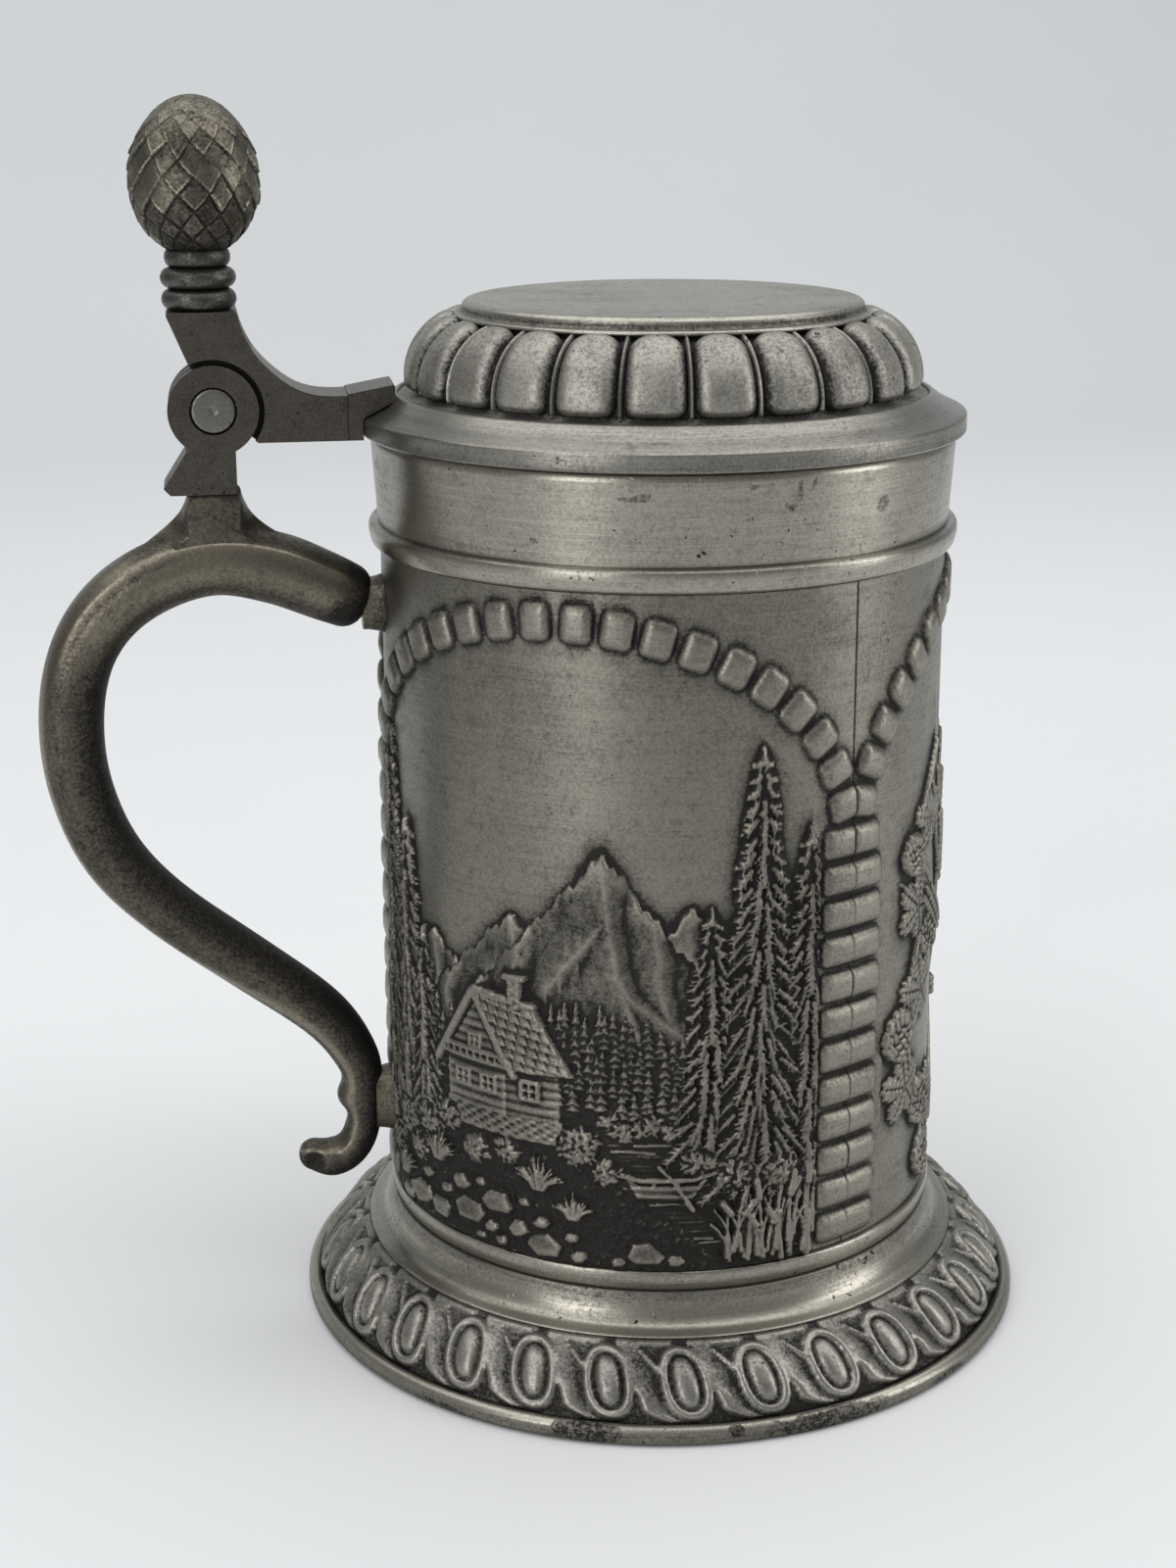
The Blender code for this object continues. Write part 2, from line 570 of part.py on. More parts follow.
def ornament_point(t, across):
    """Radius and z on the foot's ornament at height t (0 rim, 1 top), across one repeat (-0.5 to 0.5)."""
    (r0, z0), (r1, z1) = ORNAMENT_LOW, ORNAMENT_HIGH
    length = math.hypot(r1 - r0, z1 - z0)
    normal = ((z1 - z0) / length, (r0 - r1) / length)
    lift = ORNAMENT_BULGE * 4 * t * (1 - t)
    inside = 1 - ((t - 0.5) / 0.47) ** 4
    if 0 < inside:
        if abs(across) < 0.33:
            lift += EGG_HEIGHT * math.sqrt(inside) * math.sqrt(1 - (across / 0.33) ** 2)
        elif abs(across) == 0.5:
            lift += TWIST_HEIGHT * math.sqrt(inside)
    return r0 + (r1 - r0) * t + normal[0] * lift, z0 + (z1 - z0) * t + normal[1] * lift


def ornament_ring(t):
    """One ring of the foot's ornament: eggs with a slanted twist between each pair."""
    pitch = 360 / ORNAMENT_REPEATS
    points = []
    for n in range(ORNAMENT_REPEATS):
        for across in (0.0, 0.18, 0.33, 0.5, -0.33, -0.18):
            slant = TWIST_SLANT * (2 * t - 1) if across == 0.5 else 0.0
            turn = across % 1.0 + slant
            radius, z = ornament_point(t, across)
            angle = math.radians(ORNAMENT_PHASE + (n + turn) * pitch)
            points.append((radius * math.cos(angle), radius * math.sin(angle), z))
    return points


def foot():
    count = 2 * ORNAMENT_REPEATS
    rim = [(FOOT_RADIUS - RIM_EASE, 0.0), (FOOT_RADIUS, RIM_EASE), (FOOT_RADIUS, RIM_HEIGHT - RIM_EASE),
           (FOOT_RADIUS - RIM_EASE, RIM_HEIGHT)]
    cove = bezier(*COVE, COVE_POINTS)
    collar = [(SPIGOT_RADIUS, FOOT_TOP), (SPIGOT_RADIUS, COLLAR_TOP), (LIP_INNER, COLLAR_TOP)]
    inside = [(LIP_INNER, LEDGE_Z), (LEDGE_INNER, LEDGE_Z), *FOOT_CAVITY]
    rings = [circle(r, z, count, ORNAMENT_PHASE) for r, z in rim]
    rings += [ornament_ring(n / (ORNAMENT_ROWS - 1)) for n in range(ORNAMENT_ROWS)]
    rings += [circle(r, z, count, ORNAMENT_PHASE) for r, z in cove + collar + inside]
    return stack_rings(rings, loop=True)


def dome_ring(sweep):
    """One ring of the gadrooned dome at an angle up its curve; lobes are full at their middle."""
    pitch = 360 / GADROONS
    end = min(1.0, min(sweep, DOME_SWEEP - sweep) / 14)
    points = []
    for n in range(GADROONS):
        for across in GADROON_ACROSS:
            lobe = math.sqrt(1 - (2 * abs(across - 0.5)) ** 4) * math.sqrt(1 - (1 - end) ** 2)
            reach = GROOVE_RADIUS + (GADROON_RADIUS - GROOVE_RADIUS) * lobe
            radius = DOME_CENTRE[0] + reach * math.cos(math.radians(sweep))
            z = DOME_CENTRE[1] + reach * math.sin(math.radians(sweep))
            angle = math.radians(GADROON_PHASE + (n + across) * pitch)
            points.append((radius * math.cos(angle), radius * math.sin(angle), z))
    return points


def flange_profile(offset=0.0):
    """The flange's outer side from its lower edge up to the dome, grown by offset."""
    side = [(FLANGE_RADIUS, FLANGE_BOTTOM + FLANGE_EASE), *FLANGE_SLOPE]
    return [(radius + offset, z + offset) for radius, z in side]


def lid_shell():
    count = GADROONS * len(GADROON_ACROSS) // 3
    outside = [(LID_OPENING, FLANGE_BOTTOM), (FLANGE_RADIUS - FLANGE_EASE, FLANGE_BOTTOM), *flange_profile()]
    top = [(LID_LIP_RADIUS, LID_TOP - LIP_EASE), (LID_LIP_RADIUS - LIP_EASE / 2, LID_TOP)]
    rings = [circle(r, z, count, GADROON_PHASE) for r, z in (*LID_CAVITY, *outside)]
    rings += [dome_ring(DOME_SWEEP * n / (GADROON_ROWS - 1)) for n in range(GADROON_ROWS)]
    rings += [circle(r, z, count, GADROON_PHASE) for r, z in top]
    return stack_rings(rings, loop=False)


def lid_plate():
    low = LID_TOP + GAP
    edge = [(PLATE_RADIUS + dr, PLATE_TOP + dz) for dr, dz in PLATE_EDGE]
    return revolve([(0.0, PLATE_TOP), *edge, (PLATE_RADIUS, low), (0.0, low)], closed=False)


def lid_arm():
    """The arm: its outline across Y, with two knuckles, cut back from the flange and the other knuckles."""
    outline = [*ARM_TOE, *bezier(*ARM_CURVE, ARM_CURVE_POINTS), *THUMB_LEDGE, *ARM_BACK]
    arm = prism(outline, HINGE_HALF_WIDTH)
    arm = combine(arm, hinge_cylinder(KNUCKLE_RADIUS, -HINGE_HALF_WIDTH, HINGE_HALF_WIDTH), "UNION")
    for low, high in knuckle_slots(0):
        arm = combine(arm, hinge_cylinder(SWING_RADIUS, low, high), "DIFFERENCE")
    arm = combine(arm, hinge_cylinder(PIN_RADIUS + GAP, -2 * HINGE_HALF_WIDTH, 2 * HINGE_HALF_WIDTH),
                  "DIFFERENCE")
    side = flange_profile(GAP)
    seat = [(0.0, side[-1][1])] + side[::-1] + [(side[0][0], FLANGE_BOTTOM - 2), (0.0, FLANGE_BOTTOM - 2)]
    return combine(arm, revolve(seat, closed=False, steps=2 * ROUND_STEPS), "DIFFERENCE")


def hinge_block():
    """The block on the handle's neck: three knuckles over a foot whose spur stops the opened lid."""
    block = prism(BLOCK_OUTLINE, HINGE_HALF_WIDTH)
    block = combine(block, hinge_cylinder(KNUCKLE_RADIUS, -HINGE_HALF_WIDTH, HINGE_HALF_WIDTH), "UNION")
    for low, high in knuckle_slots(1):
        block = combine(block, hinge_cylinder(SWING_RADIUS, low, high), "DIFFERENCE")
    return combine(block, hinge_cylinder(PIN_RADIUS + GAP, -2 * HINGE_HALF_WIDTH, 2 * HINGE_HALF_WIDTH),
                   "DIFFERENCE")


def smooth_path(points, steps):
    """A smooth line through the points, with steps pieces from each to the next."""
    path = []
    for n in range(len(points) - 1):
        before = points[max(n - 1, 0)]
        start, end = points[n], points[n + 1]
        after = points[min(n + 2, len(points) - 1)]
        for k in range(steps):
            t = k / steps
            path.append(tuple(
                b + 0.5 * t * (c - a + t * (2 * a - 5 * b + 4 * c - d + t * (3 * (b - c) + d - a)))
                for a, b, c, d in zip(before, start, end, after)))
    path.append(points[-1])
    return path


def handle_section(reach, z, half_thick, tangent):
    """Squared oval across the handle at one point of its centre line."""
    points = []
    for n in range(HANDLE_SIDES):
        angle = 2 * math.pi * (n + 0.5) / HANDLE_SIDES
        power = 2 / HANDLE_SQUARENESS
        across = math.copysign(abs(math.cos(angle)) ** power, math.cos(angle)) * half_thick
        side = math.copysign(abs(math.sin(angle)) ** power, math.sin(angle)) * half_thick * HANDLE_WIDTH_RATIO
        points.append((-(reach - tangent[1] * across), side, z + tangent[0] * across))
    return points


def handle():
    """The scroll handle: sections along its line, a round tip, the knob on the scroll and the hinge neck."""
    path = smooth_path(HANDLE_PATH, HANDLE_SPAN_STEPS)
    rings = []
    for n, (reach, z, half_thick) in enumerate(path):
        before, after = path[max(n - 1, 0)], path[min(n + 1, len(path) - 1)]
        tangent = Vector((after[0] - before[0], after[1] - before[1])).normalized()
        if n == 0:
            tangent = Vector((1.0, 0.0))
        rings.append(handle_section(reach, z, half_thick, tangent))
    for tilt in TIP_TILTS:
        forward = half_thick * math.sin(math.radians(tilt))
        rings.append(handle_section(reach + tangent[0] * forward, z + tangent[1] * forward,
                                    half_thick * math.cos(math.radians(tilt)), tangent))
    bar = stack_rings(rings, loop=False)
    knob = bmesh.new()
    bmesh.ops.create_uvsphere(knob, u_segments=12, v_segments=7, radius=KNOB_RADIUS,
                              matrix=Matrix.Translation((-KNOB_REACH, 0.0, KNOB_Z)))
    bar = combine(bar, knob, "UNION")
    neck = [*bezier(*NECK_OUTER, NECK_POINTS), NECK_ROOT, *bezier(*NECK_INNER, NECK_POINTS)]
    return combine(bar, prism(neck, NECK_HALF_WIDTH), "UNION")


def handle_lug(low, high, outer):
    """A stub soldered to the wall under the handle, wider at the wall."""
    root = WALL_RADIUS + GAP
    profile = [(root, low - 0.6), (outer, low), (outer, high), (root, high)]
    return revolve(profile, steps=4, start=HANDLE_SIDE - LUG_HALF_ARC, sweep=2 * LUG_HALF_ARC)


def thumblift_collar():
    profile = [(0.0, COLLAR_RINGS[0][0])]
    for low, high, radius in COLLAR_RINGS:
        middle = (low + high) / 2
        profile += [(radius - 0.9, low), (radius, middle - 0.5), (radius, middle + 0.5), (radius - 0.9, high)]
    profile.append((0.0, COLLAR_RINGS[-1][1]))
    collar = revolve(profile, closed=False, steps=16)
    bmesh.ops.translate(collar, verts=collar.verts[:], vec=(-THUMB_REACH, 0.0, 0.0))
    return collar


def thumblift_cone():
    """Pine cone: rings whose points stand out by turns, so that each scale is a four-sided stud."""
    bm = bmesh.new()
    columns = 2 * CONE_SCALES
    height = CONE_TOP - CONE_BOTTOM
    rings = []
    for k in range(CONE_ROWS + 1):
        t = 0.03 + 0.94 * k / CONE_ROWS
        if t < CONE_WIDEST:
            radius = CONE_RADIUS * math.sqrt(1 - ((CONE_WIDEST - t) / CONE_WIDEST) ** 2 * 0.8)
        else:
            radius = CONE_RADIUS * math.sqrt(1 - ((t - CONE_WIDEST) / (1 - CONE_WIDEST)) ** 2)
        ring = []
        for j in range(columns):
            stud = SCALE_HEIGHT if (j + k) % 2 else 0.0
            angle = 2 * math.pi * j / columns
            ring.append(bm.verts.new(((radius + stud) * math.cos(angle) - THUMB_REACH,
                                      (radius + stud) * math.sin(angle), CONE_BOTTOM + height * t)))
        rings.append(ring)
    for k, (lower, upper) in enumerate(zip(rings, rings[1:])):
        for j in range(columns):
            i = (j + 1) % columns
            if (j + k) % 2:
                bm.faces.new((lower[j], lower[i], upper[j]))
                bm.faces.new((lower[i], upper[i], upper[j]))
            else:
                bm.faces.new((lower[j], lower[i], upper[i]))
                bm.faces.new((lower[j], upper[i], upper[j]))
    bottom = bm.verts.new((-THUMB_REACH, 0.0, CONE_BOTTOM))
    tip = bm.verts.new((-THUMB_REACH, 0.0, CONE_TOP))
    for j in range(columns):
        i = (j + 1) % columns
        bm.faces.new((bottom, rings[0][i], rings[0][j]))
        bm.faces.new((tip, rings[-1][j], rings[-1][i]))
    return bm


def main():
    clear_scene()
    stein = add_empty("stein_axis", (AXIS_X, 0.0, 0.0))
    hinge_place = (-HINGE_REACH, 0.0, HINGE_Z)
    lid = add_empty("lid_hinge_axis", hinge_place, stein)

    pictures = {"wall_panel_front": sheaf_forms, "wall_panel_right": cask_forms,
                "wall_panel_left": lake_forms}
    for name, centre in PANEL_CENTRES.items():
        add_part(name, wall_panel(centre, pictures[name]), stein, tone=0.33)
    band_bottom = NECK_BEAD_TOP + GAP
    add_part("lip_band", revolve([
        (BAND_RADIUS, band_bottom), (LIP_RADIUS, LIP_TOP - 1.4), (LIP_RADIUS - 0.5, LIP_TOP - 0.3),
        (LIP_RADIUS - 1.2, LIP_TOP), (LIP_INNER + 1.0, LIP_TOP), (LIP_INNER, LIP_TOP - 0.8),
        (LIP_INNER, SPIGOT_BOTTOM), (SPIGOT_RADIUS, SPIGOT_BOTTOM), (SPIGOT_RADIUS, band_bottom)]), stein)
    add_part("neck_bead", revolve(half_round(
        WALL_INNER, BAND_RADIUS, NECK_BEAD_RADIUS, WALL_TOP + GAP, NECK_BEAD_TOP)), stein, tone=0.42)
    add_part("base_bead", revolve(half_round(
        WALL_INNER, WALL_RADIUS, BASE_BEAD_RADIUS, BASE_BEAD_BOTTOM, WALL_BOTTOM - GAP)), stein, tone=0.42)
    add_part("foot", foot(), stein)
    floor_low = LEDGE_Z + GAP
    add_part("bottom_disc", revolve([
        (0.0, floor_low + FLOOR_THICK), (LIP_INNER - GAP, floor_low + FLOOR_THICK),
        (LIP_INNER - GAP, floor_low), (0.0, floor_low)], closed=False), stein)
    add_part("handle", handle(), stein, tone=0.26, roughness=0.42)
    add_part("handle_upper_lug", handle_lug(**UPPER_LUG), stein)
    add_part("handle_lower_lug", handle_lug(**LOWER_LUG), stein)
    add_part("hinge_block", hinge_block(), stein)
    add_part("hinge_pin", hinge_cylinder(PIN_RADIUS, -HINGE_HALF_WIDTH, HINGE_HALF_WIDTH), stein, tone=0.4)

    add_part("lid_shell", lid_shell(), lid, hinge_place)
    add_part("lid_plate", lid_plate(), lid, hinge_place, tone=0.42)
    add_part("lid_arm", lid_arm(), lid, hinge_place)
    add_part("thumblift_collar", thumblift_collar(), lid, hinge_place)
    add_part("thumblift_cone", thumblift_cone(), lid, hinge_place, tone=0.4)


main()
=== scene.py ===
import json
import math

import bmesh
import bpy
import numpy as np
from mathutils import Matrix, Vector


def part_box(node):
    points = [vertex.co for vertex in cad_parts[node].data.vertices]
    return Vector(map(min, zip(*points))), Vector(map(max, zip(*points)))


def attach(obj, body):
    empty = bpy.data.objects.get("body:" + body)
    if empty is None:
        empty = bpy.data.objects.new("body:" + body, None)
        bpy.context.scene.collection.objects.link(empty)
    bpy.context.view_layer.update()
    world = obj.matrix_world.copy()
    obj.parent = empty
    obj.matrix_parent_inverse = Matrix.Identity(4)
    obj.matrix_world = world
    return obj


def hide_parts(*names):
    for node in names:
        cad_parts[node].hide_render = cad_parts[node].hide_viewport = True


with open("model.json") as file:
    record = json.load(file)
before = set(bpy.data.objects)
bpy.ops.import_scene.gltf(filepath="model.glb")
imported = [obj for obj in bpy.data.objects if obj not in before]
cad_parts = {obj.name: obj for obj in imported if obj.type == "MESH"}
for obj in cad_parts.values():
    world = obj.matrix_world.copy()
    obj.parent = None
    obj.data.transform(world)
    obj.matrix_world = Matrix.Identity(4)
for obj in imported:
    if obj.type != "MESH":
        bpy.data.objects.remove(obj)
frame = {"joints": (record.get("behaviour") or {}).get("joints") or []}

bl_info = {
    "name": "Pewter stein",
    "version": (1, 0, 0),
    "blender": (4, 5, 0),
    "location": "3D View > Sidebar > Stein",
    "description": "Builds the relief drum, foot, handle, hinged lid and studio of a pewter beer stein",
    "category": "Object",
}

# Every piece is drawn in millimetres about the stein's own axis, with the handle along -X.
MM = 0.001
BAND_LOW, BAND_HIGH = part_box("lip_band")
AXIS_X = (BAND_LOW[0] + BAND_HIGH[0]) / 2 / MM
PIN_PLACE = frame["joints"][0]["pos_m"]
HINGE_REACH = AXIS_X - PIN_PLACE[0] / MM
HINGE_Z = PIN_PLACE[2] / MM
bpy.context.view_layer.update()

# The wall, the grid of its panels and the arch on each of them.
WALL_RADIUS = 44.2
WALL_INNER = 42.6
WALL_LOW = 21.6
WALL_HIGH = 126.4
SEAM_HALF = 0.04
PANEL_HALF = math.radians(60) * WALL_RADIUS - SEAM_HALF
PANEL_COLUMNS = 450
FINE_ROWS, COARSE_ROWS, FINE_TOP = 306, 112, 83.0
PANEL_ROWS = FINE_ROWS + COARSE_ROWS
ARCH_HALF = 45.0
ARCH_RISE = 34.0
ARCH_SPRING = 88.0
ARCH_STONES, ARCH_FIRST, ARCH_PITCH = 10, 3.02, 6.02
PILLAR_MIDDLE = 43.45
PILLAR_STONES, PILLAR_TOP, PILLAR_PITCH = 12, 87.3, 5.66
LUG_ROOM = 27, 42
PICTURE_SEED = 11
NO_STONE = -9.0
FORM_LEVEL = 0.06

# Turned and cast pieces: steps round the axis, joining distance, foot radii, grid columns of each repeat of an
# ornament, and where the ornament starts.
TURN_STEPS = 192
WELD = 0.001
BORDER_RADIUS = 53.0
RIM_RADIUS = 59.52
EGG_COLUMNS, GADROON_COLUMNS, SCALE_COLUMNS = 30, 44, 30
EGG_START = math.radians(264.3)
GADROON_START = math.radians(11.1)

# The hinge and what stands on it.
CONE_REACH = 70.35
NECK_REACH = 69.5
NECK_LOW, NECK_HIGH = 126.3, 135.75
HINGE_HALF = 5.3
KNUCKLE_RADIUS = 6.8
SWING_RADIUS = 7.65
PIN_RADIUS = 3.45
PIN_SLACK = 0.1
BORE_HALF = 11
HINGE_SIDES = 72
KNUCKLE_GAP = 0.3
ARM_JOINT = 48.85, 48.97

# The camera, in metres and degrees.
CAMERA_PLACE = -0.04897, -0.38692, 0.20170
CAMERA_TURNS = ("Z", -8.28), ("X", 73.56), ("Z", -0.23)


def scene_settings():
    """The three groups of settings in the sidebar: sizes, finish and stage."""
    scene = bpy.context.scene
    return scene.stein_sizes, scene.stein_finish, scene.stein_stage


class SteinSizes(bpy.types.PropertyGroup):
    relief_scale: bpy.props.FloatProperty(
        name="Relief", description="Height of the pictures on the wall, as a share of the cast ones",
        default=1.0, min=0.1, max=1.5, subtype="FACTOR")
    block_proud: bpy.props.FloatProperty(
        name="Stone height", description="How far the arch stones stand out from the wall",
        default=0.00135, min=0.0002, max=0.003, unit="LENGTH", precision=5)
    gadroons: bpy.props.IntProperty(
        name="Gadroons", description="Number of pillow lobes round the lid", default=24, min=8, max=48)
    gadroon_height: bpy.props.FloatProperty(
        name="Gadroon height", description="How far each lobe swells above the groove beside it",
        default=0.0018, min=0.0003, max=0.003, unit="LENGTH", precision=5)
    egg_repeats: bpy.props.IntProperty(
        name="Foot eggs", description="Number of eggs in the foot's border", default=29, min=12, max=48)
    egg_height: bpy.props.FloatProperty(
        name="Egg height", description="How far each egg of the foot swells out",
        default=0.0015, min=0.0003, max=0.003, unit="LENGTH", precision=5)
    cone_scales: bpy.props.IntProperty(
        name="Cone scales", description="Number of scales round the thumb piece", default=14, min=6, max=24)


class SteinFinish(bpy.types.PropertyGroup):
    bright: bpy.props.FloatVectorProperty(
        name="Bare pewter", description="Colour where hands and cloths keep the metal clean",
        default=(0.36, 0.346, 0.308), size=3, min=0.0, max=1.0, subtype="COLOR")
    # This dark colour is also the colour of all the painted shade stored on the pieces.
    tarnish: bpy.props.FloatVectorProperty(
        name="Tarnish", description="Colour of the dark film in the hollows",
        default=(0.022, 0.02, 0.018), size=3, min=0.0, max=1.0, subtype="COLOR")
    old_handle: bpy.props.FloatVectorProperty(
        name="Handle pewter", description="Colour of the browner metal of the handle",
        default=(0.165, 0.147, 0.114), size=3, min=0.0, max=1.0, subtype="COLOR")
    bump_depth: bpy.props.FloatProperty(
        name="Surface depth", description="Depth of the brushing and the cast grain",
        default=0.00012, min=0.0, max=0.001, unit="LENGTH", precision=6)


class SteinStage(bpy.types.PropertyGroup):
    floor: bpy.props.FloatVectorProperty(
        name="Floor", description="Colour of the floor and the sweep behind it",
        default=(0.8, 0.81, 0.82), size=3, min=0.0, max=1.0, subtype="COLOR")
    room: bpy.props.FloatProperty(
        name="Room light", description="Strength of the even light from all sides", default=0.3, min=0.0, max=2.0)
    top_lamp: bpy.props.FloatProperty(
        name="Top lamp", description="Power of the large soft lamp overhead", default=15.0, min=0.0, max=100.0,
        unit="POWER")
    side_lamp: bpy.props.FloatProperty(
        name="Side lamps", description="Power of the two tall soft lamps beside the camera", default=3.0,
        min=0.0, max=100.0, unit="POWER")
    lens: bpy.props.FloatProperty(
        name="Lens", description="Focal length of the camera", default=58.0, min=20.0, max=200.0,
        unit="CAMERA")


def rise(value):
    """A smooth step from 0 to 1 as value goes from 0 to 1."""
    t = np.clip(value, 0.0, 1.0)
    return t * t * (3 - 2 * t)


def bulge(share):
    """A quarter round that climbs from 0 at share 0 to 1 at share 1."""
    return np.sqrt(1 - (1 - np.clip(share, 0.0, 1.0)) ** 2)


def squared(value, power):
    """A sine or cosine pushed outwards, so that the circle it draws becomes a rounded square."""
    return np.sign(value) * np.abs(value) ** power


def bell(value, middle, wide):
    """A smooth bump of height 1 about the middle."""
    return np.exp(-((value - middle) / wide) ** 2)


def inside_box(along, across, corner):
    """How far points lie inside a box with round corners, from their distances past where the rounding starts."""
    past = np.hypot(np.maximum(along, 0), np.maximum(across, 0))
    return corner - past - np.minimum(np.maximum(along, across), 0)


def near_segment(s, z, start, end):
    """The share of the way along a straight line that is nearest to each point, and the distance from there."""
    (s0, z0), (s1, z1) = start, end
    ds, dz = s1 - s0, z1 - z0
    t = np.clip(((s - s0) * ds + (z - z0) * dz) / max(ds * ds + dz * dz, 1e-9), 0, 1)
    return t, np.hypot(s - s0 - t * ds, z - z0 - t * dz)


def oblong(s0, s1, z0, z1):
    """The corners of an upright rectangle, in order."""
    return [(s0, z0), (s1, z0), (s1, z1), (s0, z1)]


def grid_line(share, count):
    """The number of the grid line at this share of the way over so many cells."""
    return np.rint(share * count).astype(int)


def blurred(field, passes, wrap=False):
    """The field after so many rounds of averaging each point with its neighbours."""
    for _ in range(passes):
        for axis in (0, 1):
            pad = [(1, 1) if a == axis else (0, 0) for a in (0, 1)]
            grown = np.pad(field, pad, mode="wrap" if wrap and axis else "edge")
            take = [slice(None), slice(None)]
            parts = []
            for start in (0, 1, 2):
                take[axis] = slice(start, start + field.shape[axis])
                parts.append(grown[tuple(take)])
            field = 0.25 * parts[0] + 0.5 * parts[1] + 0.25 * parts[2]
    return field


def hollows(height, near, far, wrap=False):
    """Where the surface lies below (-1) or above (+1) what surrounds it, seen at two sizes."""
    small = (height - blurred(height, near, wrap)) / 0.16
    large = (height - blurred(height, far, wrap)) / 0.55
    return np.clip(0.65 * small + 0.6 * large, -1.0, 1.0)


def sheet(columns, rows, place):
    """A sheet of columns by rows faces, shaped by place(across, along), both from 0 to 1.

    place gives the x, y and z of its points, and the values to store on them by name.
    """
    bm = bmesh.new()
    bmesh.ops.create_grid(bm, x_segments=columns, y_segments=rows, size=0.5)
    flat = np.array([v.co[:] for v in bm.verts])[:, :2]
    flat = (flat - flat.min(axis=0)) / np.ptp(flat, axis=0)
    points, stored = place(flat[:, 0], flat[:, 1])
    for vert, point in zip(bm.verts, np.stack(points, axis=1).tolist()):
        vert.co = point
    for name, values in stored.items():
        layer = bm.verts.layers.float.new(name)
        for vert, value in zip(bm.verts, values.tolist()):
            vert[layer] = value
    return bm


def turned_sheet(profile, lean, swell, tone, start):
    """A profile of (radius, z) rows turned once round from the start angle, and raised by swell along its lean."""
    rows, columns = swell.shape[0] - 1, swell.shape[1] - 1

    def place(across, along):
        i, j = grid_line(along, rows), grid_line(across, columns)
        radius = profile[i, 0] + lean[i, 0] * swell[i, j]
        angle = start + 2 * math.pi * across
        z = profile[i, 1] + lean[i, 1] * swell[i, j]
        return (radius * np.cos(angle), radius * np.sin(angle), z), {"hollow": tone[i, j]}

    return sheet(columns, rows, place)


def points_of(geom):
    """The points among mixed mesh elements."""
    return [g for g in geom if isinstance(g, bmesh.types.BMVert)]


def closed(bm):
    """Join the seam of a sheet that was bent into a tube, and fill its open ends."""
    bmesh.ops.remove_doubles(bm, verts=bm.verts[:], dist=WELD)
    bmesh.ops.holes_fill(bm, edges=[e for e in bm.edges if e.is_boundary], sides=0)
    return bm


def finish(name, bm, body, nodes, material, sharp=None, weld=WELD):
    """Make a named piece from a mesh in millimetres, and put it in place of its CAD nodes."""
    bmesh.ops.remove_doubles(bm, verts=bm.verts[:], dist=weld)
    bmesh.ops.recalc_face_normals(bm, faces=bm.faces[:])
    bmesh.ops.translate(bm, verts=bm.verts[:], vec=(AXIS_X, 0.0, 0.0))
    bmesh.ops.scale(bm, verts=bm.verts[:], vec=(MM, MM, MM))
    mesh = bpy.data.meshes.new(name)
    bm.to_mesh(mesh)
    bm.free()
    mesh.shade_smooth()
    if sharp:
        mesh.set_sharp_from_angle(angle=math.radians(sharp))
    mesh.materials.append(material)
    obj = bpy.data.objects.new(name, mesh)
    bpy.context.scene.collection.objects.link(obj)
    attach(obj, body)
    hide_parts(*nodes)
    return obj


def eased(points, steps=5):
    """Round the corners of a profile of (radius, z, rounding) points with short arcs."""
    line = []
    for n, (r, z, ease) in enumerate(points):
        here = Vector((r, z))
        if not ease or n in (0, len(points) - 1):
            line.append((r, z))
            continue
        before = Vector(points[n - 1][:2]) - here
        after = Vector(points[n + 1][:2]) - here
        start = here + before.normalized() * min(ease, before.length * 0.49)
        end = here + after.normalized() * min(ease, after.length * 0.49)
        for k in range(steps + 1):
            t = k / steps
            line.append(tuple(start * (1 - t) ** 2 + here * 2 * t * (1 - t) + end * t * t))
    return line


def turned(profile, middle=0.0, steps=TURN_STEPS):
    """Turn a profile of (radius, z) points about an upright axis at x = middle."""
    bm = bmesh.new()
    verts = [bm.verts.new((middle + r, 0.0, z)) for r, z in profile]
    edges = [bm.edges.new(pair) for pair in zip(verts, verts[1:])]
    if profile[0][0] or profile[-1][0]:
        edges.append(bm.edges.new((verts[-1], verts[0])))
    bmesh.ops.spin(bm, geom=verts + edges, cent=(middle, 0, 0), axis=(0, 0, 1),
                   angle=2 * math.pi, steps=steps, use_merge=True)
    return bm


def combine(base, tool, operation):
    """Base with tool joined to it (UNION) or cut out of it (DIFFERENCE), as a new mesh."""
    objects = []
    for bm in (base, tool):
        bmesh.ops.recalc_face_normals(bm, faces=bm.faces[:])
        mesh = bpy.data.meshes.new("operand")
        bm.to_mesh(mesh)
        bm.free()
        objects.append(bpy.data.objects.new("operand", mesh))
        bpy.context.scene.collection.objects.link(objects[-1])
    modifier = objects[0].modifiers.new("combine", "BOOLEAN")
    modifier.operation = operation
    modifier.solver = "EXACT"
    modifier.object = objects[1]
    result = bmesh.new()
    result.from_object(objects[0], bpy.context.evaluated_depsgraph_get())
    for obj in objects:
        bpy.data.objects.remove(obj, do_unlink=True)
    return result


def darken_cuts(bm, radius):
    """Store the faces in the hinge cuts inside this radius and in the arm's joint as painted shade between the
    knuckles, and the upward-facing faces above the pin as lighter.
    """
    hollow = bm.faces.layers.float.new("hollow")
    for face in bm.faces:
        place = face.calc_center_median()
        in_cut = math.hypot(place.x + HINGE_REACH, place.z - HINGE_Z) < radius and abs(place.y) < HINGE_HALF - 0.05
        in_joint = ARM_JOINT[0] - 0.05 < -place.x < ARM_JOINT[1] + 0.03 and abs(place.y) < HINGE_HALF - 0.02
        if in_cut or (in_joint and abs(face.normal.z) < 0.5):
            face[hollow] = -1.0
        elif face.normal.z > 0.5 and place.z > HINGE_Z:
            face[hollow] = 0.8
    return bm


